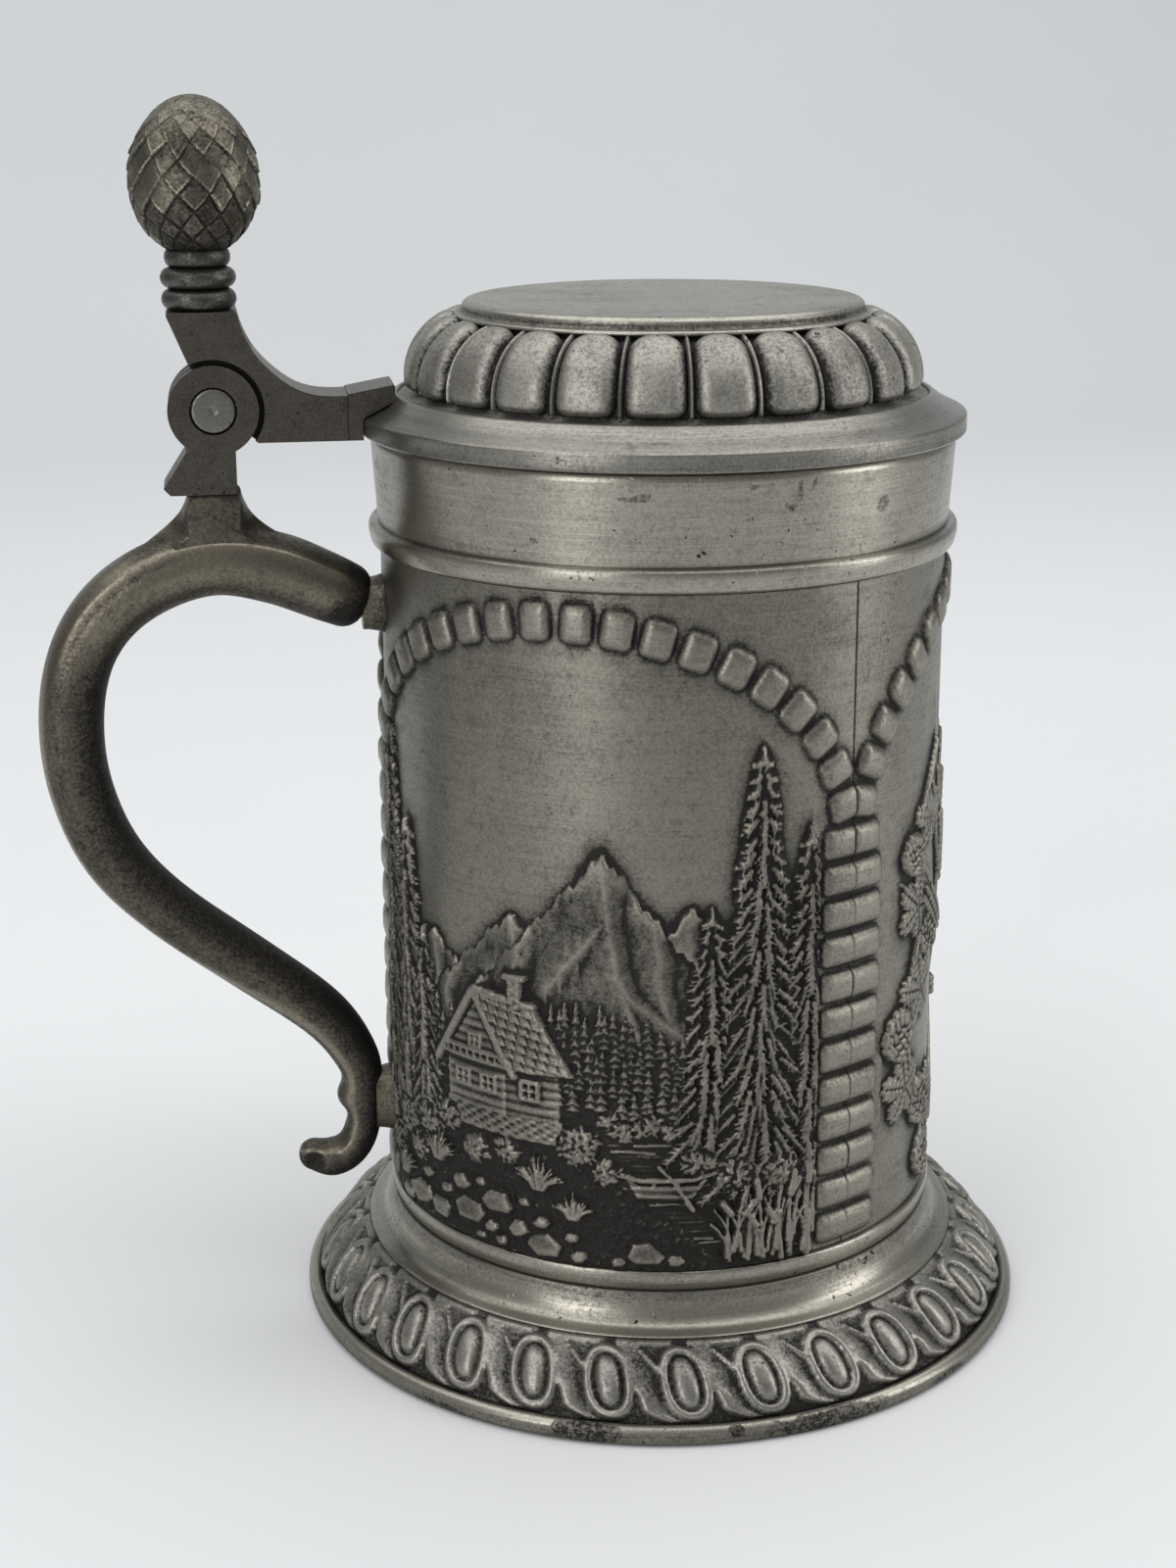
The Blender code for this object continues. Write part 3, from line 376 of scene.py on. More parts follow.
def prism(outline, half_width):
    """An outline of (reach, z) points drawn out across Y."""
    bm = bmesh.new()
    face = bm.faces.new([bm.verts.new((-reach, -half_width, z)) for reach, z in outline])
    moved = bmesh.ops.extrude_face_region(bm, geom=[face])["geom"]
    bmesh.ops.translate(bm, verts=points_of(moved), vec=(0.0, 2 * half_width, 0.0))
    return bm


def hinge_cylinder(radius, low, high):
    """A cylinder on the hinge axis from y = low to y = high."""
    bm = bmesh.new()
    place = (Matrix.Translation((-HINGE_REACH, (low + high) / 2, HINGE_Z))
             @ Matrix.Rotation(math.radians(90), 4, "X"))
    bmesh.ops.create_cone(bm, cap_ends=True, segments=HINGE_SIDES, radius1=radius, radius2=radius,
                          depth=high - low, matrix=place)
    return bm


def bezier(p0, p1, p2, p3, count):
    """Points along a cubic curve, both ends included."""
    points = []
    for n in range(count):
        t = n / (count - 1)
        weights = ((1 - t) ** 3, 3 * t * (1 - t) ** 2, 3 * t * t * (1 - t), t ** 3)
        points.append(tuple(sum(w * p[axis] for w, p in zip(weights, (p0, p1, p2, p3))) for axis in (0, 1)))
    return points


def smooth_path(points, steps):
    """A smooth line through the points, with steps pieces from each to the next."""
    path = []
    for n in range(len(points) - 1):
        a, b = points[max(n - 1, 0)], points[n]
        c, d = points[n + 1], points[min(n + 2, len(points) - 1)]
        for k in range(steps):
            t = k / steps
            path.append(tuple(
                q + 0.5 * t * (r - p + t * (2 * p - 5 * q + 4 * r - s + t * (3 * (q - r) + s - p)))
                for p, q, r, s in zip(a, b, c, d)))
    path.append(points[-1])
    return path


class Relief:
    """A height map of one wall panel laid flat: s across from its middle, z up, heights above the wall."""

    def __init__(self):
        self.s = np.linspace(-PANEL_HALF, PANEL_HALF, PANEL_COLUMNS + 1)
        self.z = np.concatenate([np.linspace(WALL_LOW, FINE_TOP, FINE_ROWS + 1),
                                 np.linspace(FINE_TOP, WALL_HIGH, COARSE_ROWS + 1)[1:]])
        self.height = np.zeros((PANEL_ROWS + 1, PANEL_COLUMNS + 1))
        self.rough = np.zeros_like(self.height)
        self.stone = np.full_like(self.height, NO_STONE)
        self.chance = np.random.default_rng(PICTURE_SEED)

    def patch(self, s0, s1, z0, z1):
        """The part of the map between these limits: its index, and its s and z values."""
        columns = slice(np.searchsorted(self.s, s0), np.searchsorted(self.s, s1) + 1)
        rows = slice(np.searchsorted(self.z, z0), np.searchsorted(self.z, z1) + 1)
        s, z = np.meshgrid(self.s[columns], self.z[rows])
        return (rows, columns), s, z

    def cover(self, where, inside, height, rough=0.0):
        """Replace what lies in a patch wherever a form is inside it."""
        self.height[where] = np.where(inside, height, self.height[where])
        self.rough[where] = np.where(inside, rough, self.rough[where])

    def lift(self, where, inside, height, rough=0.1):
        """Put a form on a patch wherever it stands higher than what lies there."""
        higher = inside & (height > self.height[where])
        self.height[where] = np.where(higher, height, self.height[where])
        self.rough[where] = np.where(higher, rough, self.rough[where])

    def grain(self, across, up):
        """Smooth chance heights from -1 to 1 over the whole map, in cells of this size."""
        rows = int((WALL_HIGH - WALL_LOW) / up) + 3
        columns = int(2 * PANEL_HALF / across) + 3
        lattice = self.chance.uniform(-1, 1, (rows, columns))
        y, x = (self.z - WALL_LOW) / up, (self.s + PANEL_HALF) / across
        i, j = y.astype(int), x.astype(int)
        fy, fx = rise(y - i)[:, None], rise(x - j)[None, :]
        near = lattice[i][:, j] * (1 - fx) + lattice[i][:, j + 1] * fx
        far = lattice[i + 1][:, j] * (1 - fx) + lattice[i + 1][:, j + 1] * fx
        return near * (1 - fy) + far * fy

    def ridge(self, points, start, end, level, thick, rough=0.1):
        """A rounded ridge along a line; its half width goes from start to end, and its top lies at level."""
        count = len(points) - 1
        for n, ((s0, z0), (s1, z1)) in enumerate(zip(points, points[1:])):
            wide = max(start, end)
            where, s, z = self.patch(min(s0, s1) - wide, max(s0, s1) + wide,
                                     min(z0, z1) - wide, max(z0, z1) + wide)
            t, away = near_segment(s, z, (s0, z0), (s1, z1))
            half = start + (end - start) * (n + t) / count
            self.lift(where, away < half, level - thick * (1 - bulge(1 - away / half)), rough)

    def bar(self, points, half, level, thick):
        """A ridge of the same half width all along."""
        self.ridge(points, half, half, level, thick)

    def blob(self, s0, z0, long, wide, turn, level, thick, cover=False, rough=0.0):
        """A rounded lump with these half sizes, its long way turned from the s direction."""
        reach = max(long, wide)
        where, s, z = self.patch(s0 - reach, s0 + reach, z0 - reach, z0 + reach)
        c, k = math.cos(turn), math.sin(turn)
        share = np.hypot(((s - s0) * c + (z - z0) * k) / long, ((z - z0) * c - (s - s0) * k) / wide)
        top = level - thick * (1 - bulge(1 - share))
        if cover:
            self.cover(where, share < 1, top, rough)
        else:
            self.lift(where, share < 1, top)

    def slab(self, corners, level, edge, texture=None, rough=0.0):
        """A flat piece with straight sides, corners in order, with rounded edges and a texture(s, z)."""
        points = np.array(corners)
        low, high = points.min(axis=0), points.max(axis=0)
        where, s, z = self.patch(low[0], high[0], low[1], high[1])
        area = sum(a[0] * b[1] - b[0] * a[1] for a, b in zip(corners, corners[1:] + corners[:1]))
        inward = np.full(s.shape, 1e9)
        for (s0, z0), (s1, z1) in zip(corners, corners[1:] + corners[:1]):
            length = math.hypot(s1 - s0, z1 - z0)
            inward = np.minimum(inward, ((s1 - s0) * (z - z0) - (z1 - z0) * (s - s0)) / length * np.sign(area))
        top = level * (0.75 + 0.25 * bulge(inward / edge)) + (texture(s, z) if texture else 0.0)
        self.cover(where, inward > 0, top, rough)

    def spray(self, start, end, level):
        """A drooping spray of needles from start to end."""
        (s0, z0), (s1, z1) = start, end
        long, turn = math.hypot(s1 - s0, z1 - z0), math.atan2(z1 - z0, s1 - s0)
        self.ridge([start, end], 0.42, 0.2, level, 0.5, 0.4)
        count = max(2, int(long / 0.75))
        for n in range(count):
            t = (n + 0.6) / count
            for side in (-1, 1):
                fan = turn + side * self.chance.uniform(0.45, 0.85)
                needle = self.chance.uniform(0.9, 1.5) * (1.15 - 0.4 * t)
                s, z = s0 + t * (s1 - s0), z0 + t * (z1 - z0)
                self.ridge([(s, z), (s + needle * math.cos(fan), z + needle * math.sin(fan))], 0.3, 0.15,
                           level - self.chance.uniform(0.05, 0.35), 0.45, self.chance.uniform(0.25, 0.6))

    def fir(self, s0, low, tip, width, level, tiers):
        """A fir seen from the side: drooping sprays over a dark inside, drawn from the lowest up."""
        pick = self.chance.uniform
        where, s, z = self.patch(s0 - 0.5 * width, s0 + 0.5 * width, low, tip)
        away = np.abs(s - s0) / (0.42 * width * (np.maximum(tip - z, 0) / (tip - low)) ** 0.9 + 0.15)
        self.cover(where, (z <= tip) & (away < 1), level * 0.1 + 0.2 * bulge(1 - away), 1.0)
        self.ridge([(s0, low - 3), (s0, low + 2)], 0.8, 0.7, level * 0.8, 0.5)
        for n in range(tiers):
            share = 1 - (n + 0.3) / tiers
            z0 = tip - (tip - low) * share ** 1.1
            half = 0.5 * width * share ** 0.85 + 0.35
            count = 2 + int(half / 1.9)
            for k in np.linspace(-1, 1, count):
                k += pick(-0.12, 0.12)
                root = (s0 + 0.45 * k * half, z0 + (0.55 - 0.3 * abs(k)) * half * 0.5 + pick(-0.4, 0.4))
                drop = (0.4 + 0.2 * (1 - abs(k))) * half * pick(0.6, 1.25) + 0.5
                end = (s0 + k * half * pick(0.85, 1.08), z0 - drop)
                self.spray(root, end, level * (1.1 - 0.3 * abs(k)) + pick(-0.3, 0.1))
        self.ridge([(s0, tip - 1.5), (s0, tip + 0.6)], 0.4, 0.2, level * 0.9, 0.4)

    def small_fir(self, s0, low, tip, width, level):
        """A distant fir: three drooping tiers."""
        where, s, z = self.patch(s0 - 0.6 * width, s0 + 0.6 * width, low, tip)
        away = np.abs(s - s0)
        tier = (tip - z - 0.45 * away) / (tip - low) * 4
        part = tier - np.floor(tier)
        limit = 0.5 * width * (0.12 + 0.88 * np.clip(tier / 4, 0, 1)) * (0.55 + 0.5 * part)
        top = level * (0.55 + 0.3 * bulge(1 - away / np.maximum(limit, 0.05)) + 0.3 * (part - 0.4))
        self.cover(where, (tier > 0) & (tier < 4) & (away < limit), top, 0.4)

    def rock(self, s0, z0, size, level):
        """An angular boulder with one tilted face."""
        turns = np.linspace(0, 2 * math.pi, 7)[:-1] + self.chance.uniform(-0.35, 0.35, 6)
        corners = [(s0 + size * math.cos(a) * self.chance.uniform(0.85, 1.1),
                    z0 + 0.68 * size * math.sin(a) * self.chance.uniform(0.85, 1.1)) for a in turns]
        lean, dip = self.chance.uniform(-0.2, 0.2), self.chance.uniform(-0.25, 0.05)
        self.slab(corners, level, 0.9, lambda s, z: (lean * (s - s0) + dip * (z - z0)) / size, 0.25)

    def tuft(self, s0, z0, tall, level):
        """A fan of grass blades."""
        for n in range(15):
            lean = (n - 7) / 7 + self.chance.uniform(-0.06, 0.06)
            long = tall * (1 - 0.25 * abs(lean)) * self.chance.uniform(0.8, 1.1)
            blade = [(s0 + 0.8 * lean + long * lean * 0.85 * k ** 1.4, z0 + long * k * (1 - 0.45 * abs(lean) * k))
                     for k in (0, 0.35, 0.7, 1)]
            self.ridge(blade, 0.34, 0.14, level * self.chance.uniform(0.85, 1.05), 0.4)

    def bush(self, s0, z0, size, level):
        """A round bush: a low dome under many small leaves that point outwards."""
        self.blob(s0, z0, size, size * 0.9, 0.0, level - 0.55, 0.6, cover=True, rough=1.0)
        for _ in range(int(9 * size * size) + 10):
            away, turn = size * 1.02 * math.sqrt(self.chance.uniform()), self.chance.uniform(0, 2 * math.pi)
            top = level * (1 - 0.45 * (away / size) ** 2) + self.chance.uniform(-0.25, 0.1)
            self.blob(s0 + away * math.cos(turn), z0 + 0.9 * away * math.sin(turn), self.chance.uniform(0.5, 0.8),
                      0.36, turn + self.chance.uniform(-0.6, 0.6), top, 0.5)

    def leaf(self, s0, z0, size, turn, level):
        """A vine leaf of five lobes with sunk veins, its stalk at s0, z0."""
        middle_s, middle_z = s0 + 0.55 * size * math.cos(turn), z0 + 0.55 * size * math.sin(turn)
        where, s, z = self.patch(middle_s - size, middle_s + size, middle_z - size, middle_z + size)
        away = np.hypot(s - middle_s, z - middle_z)
        angle = np.arctan2(z - middle_z, s - middle_s) - turn
        lobes = np.abs(np.cos(2.5 * angle))
        limit = size * (0.52 + 0.4 * lobes ** 0.8) * (1 + 0.05 * np.sin(26 * angle))
        share = away / limit
        vein = np.exp(-(np.sin(2.5 * angle) * away / 0.5) ** 2) * (lobes > 0.5)
        top = level - 0.55 * share ** 2 - 0.28 * vein + 0.07 * np.sin(away * 6)
        self.cover(where, share < 1, top)

    def hop(self, s0, z0, size, turn, level):
        """A hop cone: rows of overlapping scales on an egg, its stalk end at s0, z0."""
        for row in range(7):
            along = size * (1.9 - 0.29 * row)
            girth = 0.78 * size * math.sin(math.pi * (0.16 + 0.72 * (1 - along / (2.1 * size))))
            for n in (-1, 1, 0) if row % 2 else (-0.5, 0.5):
                side = n * girth * 0.85
                s = s0 + along * math.cos(turn) - side * math.sin(turn)
                z = z0 + along * math.sin(turn) + side * math.cos(turn)
                top = level - 0.3 * abs(n) - 0.05 * row + 0.35
                self.blob(s, z, 0.46 * size, 0.42 * size, turn, top, 0.55, cover=True)

    def ear(self, line, level):
        """An ear of barley at the end of a stalk that follows the line."""
        self.ridge(line, 0.55, 0.45, level - 0.35, 0.4)
        (s0, z0), (s1, z1) = line[-2], line[-1]
        turn = math.atan2(z1 - z0, s1 - s0)
        c, k = math.cos(turn), math.sin(turn)
        corns = []
        for n in range(8):
            for side in (-1, 1):
                along = 1.5 * n + (0.75 if side > 0 else 0.0)
                corns.append((s1 + along * c - side * 0.85 * k, z1 + along * k + side * 0.85 * c, side))
        for s, z, side in corns:
            fan = turn + side * 0.2
            self.ridge([(s, z), (s + 8.5 * math.cos(fan), z + 8.5 * math.sin(fan))], 0.3, 0.2, level - 0.5, 0.3)
        for s, z, side in corns:
            self.blob(s, z, 1.25, 0.72, turn + side * 0.35, level + 0.15, 0.6)

    def stones(self, proud, bare_side):
        """The arch of rounded stone blocks on its two pillars; bare_side leaves room for the lower handle lug."""
        angles = np.linspace(0, math.pi / 2, 400)
        line = np.stack([ARCH_HALF * np.sin(angles), ARCH_SPRING + ARCH_RISE * np.cos(angles)], axis=1)
        travelled = np.concatenate([[0], np.cumsum(np.hypot(*np.diff(line, axis=0).T))])
        blocks = []
        for n in range(ARCH_STONES):
            k = int(np.searchsorted(travelled, ARCH_FIRST + ARCH_PITCH * n))
            ds, dz = line[k] - line[k - 1]
            blocks.append((line[k][0], line[k][1], math.atan2(dz, ds), 2.56, 3.0, 1.5))
        edge = self.s[-1]
        for n in range(PILLAR_STONES):
            place, half = (PILLAR_MIDDLE + 0.4, 3.25) if n == 0 else (edge, edge - PILLAR_MIDDLE + 2.85)
            blocks.append((place, PILLAR_TOP - PILLAR_PITCH * n, math.pi / 2, 2.45, half, 1.1))
        for s0, z0, turn, long, half, corner in blocks:
            for side in (-1, 1):
                if side == bare_side and LUG_ROOM[0] < z0 < LUG_ROOM[1]:
                    continue
                wide = half + (0.8 if s0 == edge and side < 0 else 0.0)
                where, s, z = self.patch(side * s0 - wide - 1.5, side * s0 + wide + 1.5, z0 - 4.5, z0 + 4.5)
                c, k = math.cos(turn), math.sin(turn) * side
                along = np.abs((s - side * s0) * c + (z - z0) * k) - long + corner
                across = np.abs((z - z0) * c - (s - side * s0) * k) - wide + corner
                inward = inside_box(along, across, corner)
                crown = ((1 - (along + long - corner) ** 2 / (4 * long * long))
                         * (1 - (across + wide - corner) ** 2 / (4 * wide * wide)))
                top = proud * (0.9 + 0.1 * self.chance.uniform(-0.6, 1)) * bulge(inward / 1.7) * (0.6 + 0.4 * crown)
                self.cover(where, inward > 0, top, 0.12)
                # Painted light on each stone: lighter over its middle and darker toward its edges, as a domed face is
                # lit.
                shade = 0.45 * rise(inward / 1.5) - 0.65 * (1 - rise(inward / 0.5))
                self.stone[where] = np.where(inward > 0, shade, self.stone[where])

    def picture_limit(self):
        """1 inside the arch's inner edge, 0 outside it."""
        s, z = np.meshgrid(self.s, self.z)
        arch = np.hypot(s / (ARCH_HALF - 3.4), (z - ARCH_SPRING) / (ARCH_RISE - 3.4)) < 1
        return np.where(z > ARCH_SPRING, arch, np.abs(s) < PILLAR_MIDDLE - 3.2)


def peak(relief, s0, top, left, right, level):
    """A mountain: flat faces that fall away on both sides of ridges running down from its skyline."""
    pick = relief.chance.uniform
    where, s, z = relief.patch(-PANEL_HALF, PANEL_HALF, 46, top + 2)
    jag = 0.5 * np.sin(s * 1.3 + s0) + 0.3 * np.sin(s * 3.7 + 2 * s0)
    below = top - np.where(s < s0, left, right) * np.abs(s - s0) + jag * np.clip(np.abs(s - s0), 0, 1) - z
    depth = top - 50

    def descend(s1, z1, lean, length):
        line = [(s1, z1)]
        for _ in range(4):
            line.append((line[-1][0] + lean * length / 4 + pick(-1.7, 1.7), line[-1][1] - length / 4))
        return line

    spine = descend(s0, top, pick(-0.2, 0.3), depth)
    ridges = [(spine, 1.0), (descend(*spine[1], -pick(0.5, 0.9), pick(0.3, 0.55) * depth), 0.85),
              (descend(*spine[2], pick(0.6, 1.0), pick(0.3, 0.45) * depth), 0.85)]
    for side, fall in ((-1, left), (1, right)):
        for share in (pick(0.2, 0.4), pick(0.6, 0.85)):
            aside = share * depth / fall
            spur = descend(s0 + side * aside, top - fall * aside, side * pick(-0.1, 0.5), pick(0.35, 0.7) * depth)
            ridges.append((spur, 0.85))
    face = np.full(s.shape, 0.12)
    for line, share in ridges:
        for n, (start, end) in enumerate(zip(line, line[1:])):
            t, away = near_segment(s, z, start, end)
            away *= np.where(s < start[0] + t * (end[0] - start[0]), 0.14, 0.3)
            face = np.maximum(face, level * share * (1 - 0.11 * (n + t)) - away)
    face = face * rise(below / 0.4 + 0.4) + 0.05 * relief.grain(0.9, 1.6)[where]
    relief.cover(where, below > 0, face, 0.12)


def hill(relief, outline, level, texture, rough):
    """Ground below a skyline outline(s), with a rounded upper edge."""
    where, s, z = relief.patch(-PANEL_HALF, PANEL_HALF, WALL_LOW, 90)
    below = outline(s) - z
    relief.cover(where, below > 0, level * bulge(below / 1.5 + 0.25) + texture[where], rough)


def hut(relief, s0, z0):
    """A log hut under a shingled roof on a stone footing."""
    def logs(s, z):
        return 0.2 * np.abs(np.sin((z - z0) * math.pi / 1.5)) - 0.1

    def shingles(s, z):
        row = (z + 0.18 * (s - s0)) / 1.5
        odd = np.floor(row) % 2
        step = ((s + 0.42 * z) / 1.7 + 0.5 * odd) % 1.0
        return 0.26 * (1 - (row % 1.0)) - 0.2 * (step < 0.16)

    def rubble(s, z):
        return 0.16 * np.sin(2.6 * s + 1.3 * np.floor(z / 1.3)) * np.sin(z * 2 * math.pi / 1.3)

    def at(*points):
        return [(s0 + ds, z0 + dz) for ds, dz in points]

    relief.slab(at(*oblong(-6.5, 15, -3, 1)), 1.15, 0.4, rubble)
    relief.slab(at(*oblong(5, 14.5, 0.5, 9.5)), 0.95, 0.4, logs)
    relief.slab(at((-6, 0.5), (5.6, 0.5), (5.6, 9), (-0.2, 18), (-6, 9)), 1.2, 0.5, logs)
    relief.slab(at((5, 8), (17, 8.6), (10.5, 19), (-0.4, 20)), 1.45, 0.4, shingles)
    relief.bar(at((-8.2, 6.8), (-0.4, 19.8), (7, 7.4)), 0.75, 1.75, 0.5)
    relief.bar(at((-0.4, 20), (10.5, 19)), 0.5, 1.75, 0.4)
    relief.slab(at(*oblong(6, 8.4, 18, 23)), 1.6, 0.4, rubble)
    relief.bar(at((5.6, 23.2), (8.8, 23.2)), 0.5, 1.8, 0.4)
    for ds, dz, half in ((-2.6, 5.2, 1.25), (2.4, 5.2, 1.25), (-0.1, 11.6, 1.0), (9.6, 5.4, 1.35)):
        s, z = s0 + ds, z0 + dz
        relief.slab(oblong(s - half, s + half, z - half, z + half), 0.35, 0.2)
        for k, wide in ((-half, 0.42), (half, 0.42), (0.0, 0.3)):
            relief.bar([(s - half, z + k), (s + half, z + k)], wide, 1.5, 0.3)
            relief.bar([(s + k, z - half), (s + k, z + half)], wide, 1.5, 0.3)
    relief.bar(at((-6.4, 8.6), (5.8, 8.6)), 0.5, 1.7, 0.4)
    for n in range(9):
        s = -5.6 + 1.35 * n
        relief.bar(at((s, 8.4), (s, 9.9)), 0.3, 1.62, 0.3)
    relief.bar(at((-6.2, 10), (5.4, 10)), 0.4, 1.66, 0.3)


# The lake picture: peaks by s, top, left and right fall, and level; firs by s, foot, tip, width and tiers; bushes
# and rocks by s, z and size; tufts of grass by s, z and height.
PEAKS = ((-24, 71, 0.75, 0.8, 0.85), (31, 73, 0.9, 0.7, 0.85), (-8, 77, 0.95, 0.9, 0.95), (20, 80, 1.2, 0.85, 1.05),
         (7, 88, 1.1, 1.3, 1.2))
FIRS = ((-32, 41, 86, 13, 17), (-39, 37, 103, 16, 24), (-26.5, 40, 70, 10, 12), (38.5, 38, 90, 13, 19),
        (23, 42, 79, 12, 15), (30.5, 36, 103, 17, 25))
BUSHES = ((-20.5, 41.5, 3.0), (3.2, 41.5, 3.4), (-8.5, 38.8, 2.4), (-26, 39, 3.3), (-33, 37, 3.6), (7.6, 37.6, 2.1),
          (-38.5, 31.5, 3.3), (-14.5, 37.5, 2.6), (-29, 33.0, 2.6), (21.5, 39.6, 2.6), (26.8, 37.4, 3.2),
          (34, 36.8, 3.4), (39.5, 35.5, 2.6))
TUFTS = ((-23, 33, 5), (-3, 33.5, 5.4), (-34, 26.5, 4.5), (2.5, 29.5, 4))
ROCKS = ((-17.5, 31, 2.0), (-13.6, 32.0, 1.2), (-10.2, 29.6, 3.1), (-20.8, 28.6, 1.4), (-5.6, 30.6, 1.3),
         (-16.2, 26.4, 3.4), (-11.4, 25.2, 1.5), (-6.6, 26.2, 2.2), (-2.6, 28.0, 1.5), (-22.8, 24.8, 2.6),
         (-9.6, 23.4, 1.2), (-2.4, 24.2, 3.2), (2.2, 26.2, 1.4), (-13.8, 23.0, 1.0), (-28.4, 25.4, 3.3),
         (-26.2, 29.4, 1.5), (-33, 23.6, 2.2), (3.4, 23.2, 1.6), (13.4, 24.4, 3.0), (18.0, 23.4, 1.6),
         (9.4, 23.0, 1.2))


def lake_picture(relief):
    """A lake among fir woods under a bare range, with a log hut on the near shore."""
    pick = relief.chance.uniform
    fine, mid, slow = relief.grain(0.45, 0.45), relief.grain(1.1, 0.9), relief.grain(5.5, 0.5)
    for place in PEAKS:
        peak(relief, *place)
    hill(relief, lambda s: 58 + 2.2 * np.sin(s * 0.14 + 1) + 0.8 * np.sin(s * 0.43), 0.5,
         0.2 * fine + 0.1 * mid, 1.0)
    for row in range(6):
        for n in range(36):
            s = -42 + 2.4 * n + 1.2 * (row % 2) + pick(-0.7, 0.7)
            low = 57.0 - 2.3 * row + 2.2 * math.sin(s * 0.14 + 1) + pick(-0.9, 0.9)
            relief.small_fir(s, low, low + pick(3.6, 6.4), 3.0, 0.85 + 0.07 * row)
    where, s, z = relief.patch(-PANEL_HALF, PANEL_HALF, WALL_LOW, 46)
    swell = 0.12 * slow[where] + 0.06 * np.sin(z * 7.5 + 1.2 * mid[where])
    relief.cover(where, z < 44.0 + 0.8 * np.sin(s * 0.3), 0.25 + swell, 0.35)
    for n in range(70):
        s, z, half = pick(-6, 40), pick(23, 43), pick(1.5, 5.5)
        relief.ridge([(s - half, z), (s, z + 0.12), (s + half, z - 0.1)], 0.22, 0.14, 0.62, 0.3)
    for n in range(15):
        s = 8 + 2.3 * n + pick(-0.5, 0.5)
        relief.bush(s, 45.2 + 0.9 * math.sin(s), pick(1.5, 2.5), 1.1)
    hill(relief, lambda s: 46.5 - 0.35 * np.maximum(s + 6, 0) - 0.012 * np.maximum(s + 6, 0) ** 2
         + 2.5 * np.sin(s * 0.11 + 3.4) + 0.4 * np.sin(s * 1.1), 0.5, 0.2 * fine + 0.12 * mid, 1.0)
    hut(relief, -14.0, 44.0)
    for s, low, tip, width, tiers in FIRS:
        relief.fir(s, low, tip, width, 1.45, tiers)
    for place in BUSHES:
        relief.bush(*place, 1.6)
    for place in TUFTS:
        relief.tuft(*place, 1.5)
    relief.slab([(10.3, 37), (12.2, 33.6), (20.4, 33.6), (23.2, 37.4)], 1.0, 1.2,
                lambda s, z: 0.12 * np.sin(z * 5.2))
    relief.slab([(11.6, 36.6), (13.2, 35.7), (20.8, 35.7), (22.2, 36.9)], 0.35, 0.3, rough=1.0)
    relief.bar([(10.0, 37.4), (12.6, 36.7), (20.4, 36.8), (23.6, 37.8)], 0.34, 1.35, 0.35)
    relief.bar([(12.5, 35.6), (21.0, 35.6)], 0.3, 1.25, 0.3)
    for s in (14.6, 18.2):
        relief.bar([(s, 36.7), (s + 0.2, 35.6)], 0.34, 1.2, 0.3)
    relief.bar([(15.4, 39.0), (17.6, 36.6), (20.2, 32.4)], 0.25, 1.5, 0.3)
    relief.ridge([(19.6, 33.2), (20.5, 31.9)], 0.5, 0.42, 1.5, 0.4)
    for place in ROCKS:
        relief.rock(*place, pick(1.1, 1.7))
    for n in range(44):
        s, z = pick(25, 40.5), WALL_LOW + pick(0.5, 4.5)
        tall, lean = pick(6, 12.5), pick(-3.2, 3.2)
        blade = [(s + lean * t * t, z + tall * t * (1 - 0.16 * t * abs(lean) / 3))
                 for t in (0, 0.25, 0.5, 0.75, 1)]
        relief.ridge(blade, 0.4, 0.16, pick(1.1, 1.55), 0.45)
        if n % 5 == 0:
            relief.ridge(blade[3:], 0.6, 0.55, 1.75, 0.6)


def vine(relief, line, sizes, level):
    """A hop vine: a stalk with leaves and cones on both sides by turns."""
    path = smooth_path(line, 8)
    relief.ridge(path, 0.85, 0.5, level - 0.2, 0.6)
    step = max(1, len(path) // (len(sizes) + 1))
    for n, size in enumerate(sizes):
        k = step * (n + 1)
        (s0, z0), (s1, z1) = path[k - 1], path[min(k + 1, len(path) - 1)]
        turn = math.atan2(z1 - z0, s1 - s0) + (1.0 if n % 2 else -1.0)
        relief.leaf(s0, z0, size, turn, level)
        droop = -math.pi / 2 + (0.5 if n % 2 else -0.5)
        for k in (-0.25, 0.3):
            relief.hop(s0 + (1.8 if n % 2 else -1.8), z0 - 1.0, size * 0.46, droop + k, level + 0.1)


def sheaf_picture(relief):
    """A tied sheaf of barley between two hop vines."""
    for side in (-1, 1):
        line = ((7, 30), (20, 33), (29, 44), (30, 58), (26, 72), (27, 86), (20, 97))
        vine(relief, [(side * s, z) for s, z in line], (7.0, 6.5, 7.0, 6.0, 5.5), 1.1)
    for n in range(15):
        lean = (n - 7) / 7
        relief.ridge([(lean * 3.2, 50), (lean * 7.5, 40), (lean * 13 + 0.4 * math.sin(3 * n), 29 + 2.5 * abs(lean))],
                     0.75, 0.6, 1.1 - 0.2 * abs(lean), 0.5)
    for n in (0, 12, 1, 11, 2, 10, 3, 9, 4, 8, 5, 7, 6):
        lean = (n - 6) / 6
        tip = 79 - 13 * lean * lean - (5 if n % 2 else 0)
        relief.ear([(lean * 3, 50), (lean * 6.5, 58), (lean * 13, 0.5 * (58 + tip)), (lean * 17.5, tip)], 1.2)
    for n in range(3):
        relief.bar([(-4.6, 49.2 + 1.1 * n), (0, 48.6 + 1.1 * n), (4.6, 49.2 + 1.1 * n)], 0.65, 1.6, 0.5)


